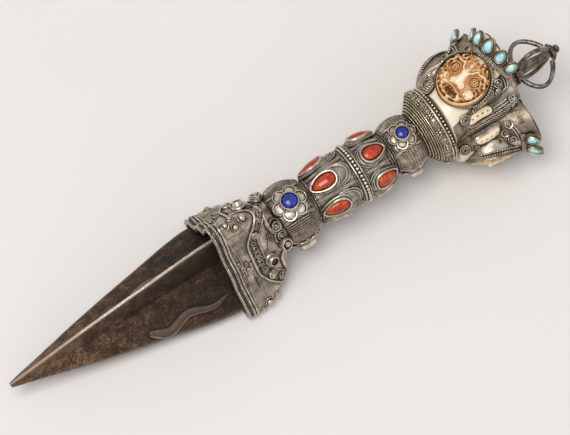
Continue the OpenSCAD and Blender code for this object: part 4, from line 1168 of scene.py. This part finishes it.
def ringed(distance, radius, width):
    return math.exp(-((distance - radius) / width) ** 2)


def dome(distance, radius):
    return math.sqrt(max(0.0, 1 - (distance / radius) ** 2))


def carving(y, z):
    # how far the carved face stands over its plain dome; y runs across the face and z up to the crown
    side = abs(y)
    eyeOff, eyeUp = side - faceForm["eye"][0], z - faceForm["eye"][1]
    eye, turn = math.hypot(eyeOff, eyeUp), math.atan2(eyeUp, eyeOff)
    out = -0.75 * hump(side - 6.0, z - 2.3, 3.4, 3.0)
    out += 1.35 * dome(eye, 2.1) - 0.6 * ringed(eye, 1.2, 0.24) - 0.9 * hump(eye, 0, 0.5, 1)
    out += 0.75 * ringed(eye, 2.7, 0.36) * (1 + 0.5 * math.sin(turn + 0.6))
    # flaming brows
    brow = between(2.0, 3.5, z)
    flame = 4.55 + 0.4 * math.sin(7 * turn)
    out += 1.0 * ringed(eye, flame, 0.62) * brow
    out += 0.6 * ringed(eye, flame + 1.7, 0.42) * brow * (0.6 + 0.4 * math.sin(9 * turn))
    # the third eye and the flames of hair over it
    third = math.hypot(y * 1.5, z - faceForm["thirdEye"])
    out += 1.0 * dome(third, 1.9) - 0.4 * ringed(third, 1.0, 0.22) + 0.45 * ringed(third, 2.4, 0.3)
    out += 0.5 * math.cos(2.6 * side + 1.2 * math.sin(z * 1.3)) * between(8.6, 9.8, z)
    # nose with flared nostrils
    if -4 < z < 6:
        width = 1.0 + 0.16 * (6 - z)
        out += (0.5 + 0.21 * (6 - z)) * math.exp(-(y / width) ** 2) * between(-4, -2.7, z)
    nostril = math.hypot(side - faceForm["nostril"][0], z - faceForm["nostril"][1])
    out += 1.35 * dome(nostril, 1.65) - 0.5 * ringed(nostril, 0.85, 0.25)
    # round cheeks, and curls of the moustache
    cheek = math.hypot(side - faceForm["cheek"][0], z - faceForm["cheek"][1])
    out += (1.3 if y > 0 else 0.8) * dome(cheek, 2.5) - 0.28 * ringed(cheek, 1.5, 0.22)
    out += 0.75 * ringed(z + 4.9, 0.9 * math.sin(side * 0.55), 0.42) * hump(side - 4.4, 0, 3.0, 1)
    # open mouth with lips, teeth and fangs, and a chin
    mouth = math.hypot((y - faceForm["mouth"][0]) / faceForm["mouthHalf"][0],
                       (z - faceForm["mouth"][1] + 0.1 * y) / faceForm["mouthHalf"][1])
    out += 0.85 * ringed(mouth, 1.16, 0.15)
    if mouth < 1:
        teeth = abs(math.cos(math.pi * y / 1.7)) ** 0.6
        out += 1.15 * teeth * (ringed(z, -6.4, 0.5) + 0.8 * ringed(z, -8.5, 0.42))
        out -= 1.3 * (1 - mouth ** 3)
    out += 1.5 * max(0.0, 1 - math.hypot((side - faceForm["fang"][0]) * 1.4,
                                         (z - faceForm["fang"][1]) * 0.62))
    out += 0.9 * dome(math.hypot(y, (z - faceForm["chin"]) * 1.3), 1.9)
    # wrinkles that follow the features
    out += 0.16 * math.sin(2.4 * math.hypot(side - 3, z + 6)) * hump(side - 8, z + 5, 4, 5)
    # tongues of flame all round the face
    middle = math.hypot(y, z - 1.0)
    sweep = math.atan2(z - 1.0, y)
    tongues = math.sin(21 * sweep + 1.6 * math.sin(1.2 * middle) + 2.4 * math.sin(3 * sweep + 0.6))
    tongues += 0.6 * math.sin(34 * sweep - 1.4 * math.sin(1.7 * middle) + 1.5 * math.sin(2 * sweep))
    tongues *= between(7.4, 9.6, middle) * (1 - 0.6 * hump(side - 5, z + 6, 4.5, 4))
    ripples = math.sin(3.4 * middle + 2.5 * math.sin(3 * sweep)) * between(6.5, 8.5, middle)
    out += faceForm["flames"] * tongues + faceForm["ripples"] * ripples
    # a plain rim round the jaw
    edge = math.hypot(y + 0.65, z - 1.0)
    jaw = 1 - between(1.0, 4.0, z)
    rim = between(12.0, 12.3, edge) * jaw
    return out * (1 - rim) + faceForm["jawRim"] * rim - 0.5 * ringed(edge, 11.8, 0.28) * jaw


for place, name in zip(headPlaces, headNames):
    bm = bmesh.new()
    bmesh.ops.create_grid(bm, x_segments=faceForm["cells"], y_segments=faceForm["cells"],
                          size=faceForm["radius"] + 0.1)
    bmesh.ops.delete(bm, geom=[corner for corner in bm.verts if corner.co.length > faceForm["radius"]],
                     context="VERTS")
    cut = bm.verts.layers.float.new("height")
    for corner in bm.verts:
        y, z = corner.co.x, corner.co.y
        over = carving(y, z)
        corner[cut] = max(0.0, min(1.0, 0.43 + 0.38 * over))
        plain = faceForm["out"] - faceForm["ball"] + math.sqrt(faceForm["ball"] ** 2 - y * y - z * z)
        corner.co = (plain - 0.35 + over * 0.95, y, z)
    border = [edge for edge in bm.edges if edge.is_boundary]
    for corner in bmesh.ops.extrude_edge_only(bm, edges=border)["geom"]:
        if isinstance(corner, bmesh.types.BMVert):
            corner.co.x = faceForm["back"]
    bm.transform(place)
    makePiece("face" + name.capitalize(), bm, boneFace, ["face_" + name], sharp=80)

bm = bmesh.new()
facing = Matrix(((0, 0, 1), (0, 1, 0), (-1, 0, 0))).to_4x4()
rim, lip, back = headForm["rim"], headForm["lip"], faceForm["back"]
for place in headPlaces:
    turnedAt(bm, place @ facing, [(12.8, back), (12.8, lip - 0.5), (12.95, lip - 0.2),
                                  (13.1, lip - 0.4), (13.0, lip - 1.0), (rim, lip - 1.4),
                                  (13.0, lip - 1.9), (13.0, lip - 2.6), (rim, lip - 3.0),
                                  (13.0, lip - 3.4), (13.0, back), (12.8, back)], 120)
makePiece("faceRims", bm, silverSheet, ["face_rims"], sharp=40)

# Ears: beans of bone in silver walls, drilled with four dots

earForm = {
    "angle": 88, "height": -4.4, "turn": 40, "out": 13.7, "inset": -2.0, "half": 6.6, "width": 5.8,
    "bend": 1.2, "dome": 2.3, "dots": (-4.0, -1.3, 1.4, 4.1), "dotDepth": 1.5, "dotSize": 0.4,
    "wall": [(0.05, 1.5), (0.1, 3.4), (0.35, 3.75), (0.65, 3.5), (0.75, 2.2), (0.9, 0.4)],
    "wires": [(0.95, 2.6), (1.25, 1.9)],  # outwards from the bone, and up
}


def bent(x, y):
    return x + earForm["bend"] * ((y / earForm["half"]) ** 2 - 0.4)


def beanRing(place, off, up, count=44):
    half, wide = earForm["half"], earForm["width"] / 2
    points = []
    for x, y in circle(1, count):
        x = (wide + off) * math.copysign(abs(x) ** 0.8, x)
        y = (half + off) * math.copysign(abs(y) ** 0.8, y)
        points.append(place @ Vector((bent(x, min(half, max(-half, y))), y, up)))
    return points


ears, walls = bmesh.new(), bmesh.new()
runs = []
for i in range(6):
    side = 1 if i % 2 else -1
    place = headTurns[i // 2] @ shift(headForm["out"], 0, heights["face"] + earForm["height"])
    place = place @ turnBy(side * earForm["angle"], "Z") @ shift(earForm["out"], 0, 0)
    place = place @ turnBy(-side * earForm["turn"], "Z") @ shift(earForm["inset"], 0, 0)
    place = place @ Matrix(((0, 0, 1), (side, 0, 0), (0, 1, 0))).to_4x4()
    made = bmesh.ops.create_uvsphere(ears, u_segments=64, v_segments=56, radius=1)
    for corner in made["verts"]:
        x, y, z = corner.co
        if abs(y) < 1:
            # fills the ends out, so that the bean is blunt
            blunt = (1 - abs(y) ** 3.4) ** (1 / 3.4) / max(0.05, math.sqrt(1 - y * y))
            x, z = x * blunt, z * blunt
        x, y = x * earForm["width"] / 2, y * earForm["half"]
        top = earForm["dome"] * (z if z > 0 else z * 0.5)
        if z > 0:
            top -= earForm["dotDepth"] * sum(hump(x, y - dot, earForm["dotSize"], earForm["dotSize"])
                                             for dot in earForm["dots"])
        corner.co = place @ Vector((bent(x, y), y, 2.3 + top))
    loft(walls, [beanRing(place, off, up) for off, up in earForm["wall"]], capped=False)
    runs += [(beanRing(place, off, up), 0.3, True) for off, up in earForm["wires"]]
mendSeams(walls)
addWires(walls, runs, 1)
makePiece("earBones", ears, boneEar, ["ears"], sharp=80)
makePiece("earWalls", walls, silverWire, ["ear_bezels"], sharp=50, mend=False)

# Coiled rosettes at the foot of the heads

rosetteForm = {
    "angle": 60, "height": -12.9, "heart": 0.85,
    "ropes": [(2.35, 0.55, 0.5), (1.5, 0.42, 0.7)],  # radius, thickness and lift
    "plate": [(0.5, 0.1), (0.8, 0.35), (2.4, 0.3), (2.8, 0.0)],
}
bm = bmesh.new()
runs = []
low = rosetteForm["height"]
for i in range(3):
    surface = headSide(i, headForm["radius"])
    for angle in (-rosetteForm["angle"], rosetteForm["angle"]):
        outward = surface(angle, low) - surface(angle + 180, low)
        for radius, wire, up in rosetteForm["ropes"]:
            runs += twisted(laid(surface, angle, low, circle(radius, 32), up), wire, 1.3, True,
                            lambda point: outward)
        runs.append((laid(surface, angle, low, circle(rosetteForm["heart"], 16), 0.6), 0.3, True))
        turnedAt(bm, standing(surface, angle, low), rosetteForm["plate"], 28)
addWires(bm, runs, 1)
makePiece("rosettes", bm, silverWire, ["earrings"], sharp=60, mend=False)

# Hair: silver plates behind the ears, ribs of twisted hair in the valleys, and open scrolls

hairForm = {
    "plate": range(52, 133, 4),  # degrees from the front of a head
    "plateLift": 0.3, "plateWall": 0.25, "centre": 0.815,
    "fineRopes": (104, 112, 120, 128),
    # angle, height, radius, turns and hand of each scroll on a plate
    "scrolls": [(60, 9.8, 2.3, 1.8, 1), (77, 6.8, 2.0, 1.7, -1), (64, 4.2, 1.5, 1.5, -1),
                (92, 9.6, 2.2, 1.8, 1), (60, -7.2, 1.3, 1.4, 1)],
    "bands": [(54, 12.6), (56, 13.9)],  # where each rope under the diadem starts
    "bandEnd": 100, "bandDrop": 5.5,
    "strands": [(-3.4, 0.66), (-2.1, 0.66), (-0.7, 0.78), (0.7, 0.78), (2.1, 0.66), (3.4, 0.66)],
    "radii": [(231.9, 15.6), (238, 17.6), (248, 18.6), (260, 18.3), (267.7, 15.4)],
    "knot": (264.5, 2.3, 1.8),  # height, radius and turns of the paired curl over the ribs
}
bm, centres = bmesh.new(), bmesh.new()
runs = []
for i in range(3):
    surface = headSide(i, headForm["radius"] + hairForm["plateLift"])
    for side in (-1, 1):
        rings = columnRings(i, headForm["radius"] + hairForm["plateLift"],
                            [side * angle for angle in hairForm["plate"]], heights["head"] + 0.4,
                            heights["cap"], 16)
        loft(bm, rings, capped=False, closed=False)
        for angle, height, radius, turns, hand in hairForm["scrolls"]:
            path = spiral(turns, 0.3, radius, 30, hand)
            runs.append((laid(surface, side * angle, height, path, 0.4, side), 0.4, False))
            bead(centres, raised(surface, side * angle, height, 0.5), hairForm["centre"], 10)
        for angle in hairForm["fineRopes"]:
            path = [ring[hairForm["plate"].index(angle)] for ring in rings[1:-1]]
            runs += twisted(path, 0.42, 1.5)
        for start, high in hairForm["bands"]:
            path = [raised(surface, side * (start + (hairForm["bandEnd"] - start) * share),
                           high - hairForm["bandDrop"] * share ** 2, 0.4) for share in shares(16)]
            runs += twisted(path, 0.42, 1.3)
    middle = 120 * i + 60 - headForm["twist"]
    for strand, radius in hairForm["strands"]:
        path = []
        for share in shares(35):
            height = heights["head"] + 0.9 + (heights["cap"] - heights["head"] - 1.4) * share
            reach = smoothly(hairForm["radii"], height) - 0.09 * strand ** 2
            path.append(polar(middle, reach, height)
                        + polar(middle + 90, strand * (0.7 + 0.4 * math.sin(math.pi * share)), 0))
        runs += twisted(path, radius, 2.4)
    height, radius, turns = hairForm["knot"]
    for hand in (-1, 1):
        path = spiral(turns, 0.3, radius, 90, hand)
        runs.append((laid(lambda angle, level: polar(angle, smoothly(hairForm["radii"], level), level),
                          middle + hand * 8, height, path, 0.5), 0.45, False))
bmesh.ops.solidify(bm, geom=bm.faces[:], thickness=-hairForm["plateWall"])
bmesh.ops.recalc_face_normals(bm, faces=bm.faces)
join(bm, centres)
makePiece("hairPlates", bm, silverBlack, ["side_ribs"], sharp=60, mend=False)
bm = bmesh.new()
addWires(bm, runs, 1)
makePiece("hairRopes", bm, silverBright, sharp=60, mend=False)

# Diadems: a beaded band over every face, carried down beside it

diademForm = {
    "low": 13.35, "high": 15.95, "thick": 1.0, "angles": range(-66, 67, 3),
    "rope": 0.38, "bead": 0.5, "beads": 38,
    "sideRows": [(13.75, 12.9, 0.56), (14.6, 11.6, 0.44)],  # radius, depth and size of the beads
    "clear": 0.0012,  # beads lower than this would touch the table, in metres
}
bm = bmesh.new()
runs = []
low, high = diademForm["low"], diademForm["high"]
for i in range(3):
    surface = headSide(i, headForm["radius"])
    for height in (low + 0.35, high - 0.3):
        runs += twisted([raised(surface, angle, height, 1.1) for angle in diademForm["angles"]],
                        diademForm["rope"], 1.2)
    for k in range(diademForm["beads"]):
        for height in (low + 0.95, high - 0.95):
            bead(bm, raised(surface, -65 + 3.5 * k, height, 1.15), diademForm["bead"], 8)
    band = bmesh.new()
    loft(band, [[raised(surface, angle, height, off) for off, height in
                 ((0, low), (0, high), (diademForm["thick"], high), (diademForm["thick"], low))]
                for angle in diademForm["angles"]])
    bmesh.ops.recalc_face_normals(band, faces=band.faces)
    join(bm, band)
    for turn in [math.radians(-115 + 5 * k) for k in range(47)]:
        for radius, depth, size in diademForm["sideRows"]:
            spot = headPlaces[i] @ Vector((depth - 1.2 * abs(math.sin(turn)), radius * math.sin(turn),
                                           radius * math.cos(turn)))
            if (dagger @ spot).z > diademForm["clear"]:
                bead(bm, spot, size, 8)
addWires(bm, runs, 1)
makePiece("diadems", bm, silverWire, ["diadems"], sharp=50, mend=False)

# Crowns: five leaves over every diadem, each with a turquoise in a thick wall

crownForm = {
    "leaves": [(-54, 0.82), (-27, 0.92), (0, 1.0), (27, 0.92), (54, 0.82)],  # angle and size
    "foot": 16.0, "out": 13.05, "tall": 8.6, "wide": 7.2, "flare": 26.9, "stone": 6.0,
    "stoneWidth": 0.66, "taper": -0.25,
    "plate": [(0.02, 0.0), (0.97, 0.0), (1.0, 0.2), (1.0, 0.75), (0.95, 0.95), (0.02, 0.95)],
    "wall": [(0.85, 0.1), (0.7, 0.5), (0.55, 1.0), (0.3, 1.25), (0.0, 1.15), (-0.05, 0.6)],
}
walls, stones = bmesh.new(), bmesh.new()
for i, name in enumerate(headNames):
    leaves = bmesh.new()
    runs = []
    for angle, share in crownForm["leaves"]:
        place = headPlaces[i] @ shift(0, 0, crownForm["foot"]) @ turnBy(angle, "Z")
        place = place @ shift(crownForm["out"], 0, 0) @ turnBy(crownForm["flare"], "Y")
        place = place @ Matrix(((0, 0, 1), (1, 0, 0), (0, 1, 0))).to_4x4()
        tall, long = crownForm["tall"] * share, crownForm["stone"] * share
        leaf = egg(tall, crownForm["wide"] * share, crownForm["taper"], 0.0, 40)

        def leafRing(grow, up):
            # the leaf's outline, flat at its foot and grown about its middle
            return [place @ Vector((x * grow, tall / 2 + max(0.1 - tall / 2, y) * grow, up))
                    for x, y in leaf]

        loft(leaves, [leafRing(grow, up) for grow, up in crownForm["plate"]])
        runs.append((leafRing(0.94, 0.95), 0.42, True))
        runs += twisted(leafRing(0.8, 1.0), 0.26, 0.9, True, outOf(place))
        middle = place @ shift(0, tall * 0.51, 0.95)
        width = long * crownForm["stoneWidth"]
        loft(walls, [[middle @ Vector((x, y, up))
                      for x, y in egg(long + 2 * off, width + 2 * off, crownForm["taper"])]
                     for off, up in crownForm["wall"]], capped=False)
        stoneAt(stones, middle @ shift(0, 0, 0.55), long, width, 1.25, crownForm["taper"], 28)
    surface = headSide(i, headForm["radius"])
    runs.append(([raised(surface, -64 + 4 * k, 16.5, 0.9) for k in range(33)], 0.5, False))
    mendSeams(leaves)
    addWires(leaves, runs, 1)
    makePiece("crown" + name.capitalize(), leaves, silverBlack, ["crown_" + name],
              sharp=50, mend=False)
makePiece("turquoiseWalls", walls, silverWire, ["crown_bezels"], sharp=50)
makePiece("turquoiseStones", stones, turquoise, ["turquoises"], sharp=80)


# Finial: half a thunderbolt with four prongs round a fluted bar

finialForm = {
    "foot": [(2.3, 0), (6.4, 0), (6.3, 0.5), (5.0, 1.2), (4.5, 1.7), (4.8, 2.2), (5.4, 2.8),
             (5.3, 3.35), (2.3, 3.35)],
    "petals": 16,
    "bar": 2.25, "barLong": 19.3, "flutes": 8, "fluteDepth": 0.13,
    "inner": 4.2, "reach": 12.7, "low": 1.4, "high": 18.0, "wire": 1.25,  # the prongs
    "tip": [(0, 0.05), (4.3, 0.05), (4.4, 0.5), (4.1, 1.0), (2.2, 1.1), (2.6, 1.2), (3.35, 1.7),
            (2.7, 2.3), (1.5, 2.5), (1.5, 2.7), (1.9, 3.0), (2.1, 3.5), (1.85, 4.3), (1.2, 4.8),
            (0.6, 4.97), (0, 4.97)],
}
bm = bmesh.new()
turned(bm, [(radius, heights["foot"] + up) for radius, up in finialForm["foot"]], 64)
mendSeams(bm)
for k in range(finialForm["petals"]):
    for turn, radius, up, size in ((0, 5.35, 0.75, 0.8), (11, 4.9, 2.7, 0.7)):
        angle = 360 / finialForm["petals"] * k + turn
        bead(bm, polar(angle, radius, heights["foot"] + up), size, 10, 0.6, polar(angle, 1, 0))
makePiece("finialFoot", bm, bronze, ["finial_foot"], sharp=50, mend=False)

bm = bmesh.new()
rings = []
for up in shares(24):
    radius = finialForm["bar"] * (1.12 - 0.2 * up)
    radius *= 1 + 0.16 * ringed(up, 0.5, 0.09) + 0.1 * ringed(up, 0.06, 0.05)
    ring = []
    for k in range(64):
        flute = 0.5 + 0.5 * math.cos(finialForm["flutes"] * 2 * math.pi * k / 64)
        ring.append(polar(360 * k / 64, radius * (1 - finialForm["fluteDepth"] * flute),
                          heights["prongs"] + 0.05 + finialForm["barLong"] * up))
    rings.append(ring)
loft(bm, rings)
makePiece("finialBar", bm, bronze, ["finial_shaft"], sharp=50)

bm = bmesh.new()
runs = []
for k in range(4):
    path, radii = [], []
    for share in shares(48):
        bow = math.sin(math.pi * share ** 0.85) ** 0.75 if 0 < share < 1 else 0.0
        radius = finialForm["inner"] + (finialForm["reach"] - finialForm["inner"]) * bow
        up = finialForm["low"] + (finialForm["high"] - finialForm["low"]) * share
        path.append(polar(90 * k, radius, heights["prongs"] + up))
        uneven = 0.05 * noise.noise(Vector((k * 5, share * 9, 0)))
        radii.append(finialForm["wire"] * (1 - 0.14 * math.sin(math.pi * share) + uneven))
    runs.append((path, radii, False))
addWires(bm, runs, 4)
makePiece("finialProngs", bm, bronze, ["finial_prongs"], sharp=60)

bm = bmesh.new()
turned(bm, [(radius, heights["tip"] + up) for radius, up in finialForm["tip"]], 48)
mendSeams(bm)
addWires(bm, [(ringPath(3.4, heights["tip"] + 1.05, 60), 0.35, True)], 1)
makePiece("finialTip", bm, bronze, ["finial_tip"], sharp=50, mend=False)


# Floor, lights and camera

studio = {
    "floor": [(0.3, "#dfdcda"), (0.7, "#e2dfdd")],
    "sky": "#f4f3f3", "skyStrength": 0.64,
    # place, power, size and colour
    "windowLight": ((-0.62, -0.05, 1.95), 26.0, (1.3, 1.1), "#fffcf8"),
    "fillLight": ((0.6, -0.9, 0.9), 1.2, (0.9, 0.9), "#f4f6ff"),
    "tilt": 67.695,  # how steeply the camera looks down, in degrees
    "turn": 32.604,  # how far it stands to the left of the dagger's side
    "distance": 1.5,
    "lens": 204.7,
    "aim": (0.00029, 0.000405, 0.01239),  # from the middle of the length, in metres
    "nudge": (-0.001916, 0.001249),  # right and up in the picture
}
tilt, turn = math.radians(studio["tilt"]), math.radians(studio["turn"])
viewRight = Vector((math.cos(turn), -math.sin(turn), 0))
viewBack = Vector((-math.sin(turn) * math.cos(tilt), -math.cos(turn) * math.cos(tilt), math.sin(tilt)))
viewUp = viewBack.cross(viewRight)


def paperSweep(name):
    # matt pale paper, very slightly uneven
    material, tree, place = newMaterial(name)
    mottle = addNode(tree, "TexNoise", {"Scale": 6.0, "Detail": 2.0}, {"Vector": place})
    colour = addNode(tree, "ValToRGB", {"stops": studio["floor"]}, {"Fac": mottle})
    finishMaterial(tree, {"Roughness": 0.9, "Specular IOR Level": 0.2}, {"Base Color": colour})
    return material


bm = bmesh.new()
bmesh.ops.create_grid(bm, x_segments=1, y_segments=1, size=6.0)
floorMesh = bpy.data.meshes.new("floor")
bm.to_mesh(floorMesh)
bm.free()
floorMesh.materials.append(paperSweep("paperSweep"))
floor = bpy.data.objects.new("floor", floorMesh)
bpy.context.scene.collection.objects.link(floor)

world = bpy.data.worlds.new("studio")
bpy.context.scene.world = world
world.use_nodes = True
world.node_tree.nodes.clear()
sky = addNode(world.node_tree, "Background",
              {"Color": toLinear(studio["sky"]), "Strength": studio["skyStrength"]})
addNode(world.node_tree, "OutputWorld", links={"Surface": sky})

for name in ("windowLight", "fillLight"):
    # a soft box that faces the dagger
    away, power, size, colour = studio[name]
    lamp = bpy.data.lights.new(name, "AREA")
    lamp.shape = "RECTANGLE"
    lamp.size, lamp.size_y = size
    lamp.energy = power
    lamp.color = toLinear(colour)[:3]
    holder = bpy.data.objects.new(name, lamp)
    holder.location = away
    holder.rotation_mode = "QUATERNION"
    holder.rotation_quaternion = Vector(away).to_track_quat("Z", "Y")
    bpy.context.scene.collection.objects.link(holder)

camera = bpy.data.cameras.new("camera")
camera.lens = studio["lens"]
camera.sensor_width = 36
camera.clip_start, camera.clip_end = 0.1, 20
eye = bpy.data.objects.new("camera", camera)
aim = Vector((cadBox[0][0] + cadBox[1][0], 0, 0)) / 2 + Vector(studio["aim"])
aim += viewRight * studio["nudge"][0] + viewUp * studio["nudge"][1]
eye.location = aim + viewBack * studio["distance"]
eye.rotation_mode = "QUATERNION"
eye.rotation_quaternion = Matrix((viewRight, viewUp, viewBack)).transposed().to_quaternion()
bpy.context.scene.collection.objects.link(eye)
bpy.context.scene.camera = eye
bpy.context.scene.view_settings.view_transform = "Standard"
print("stage set")
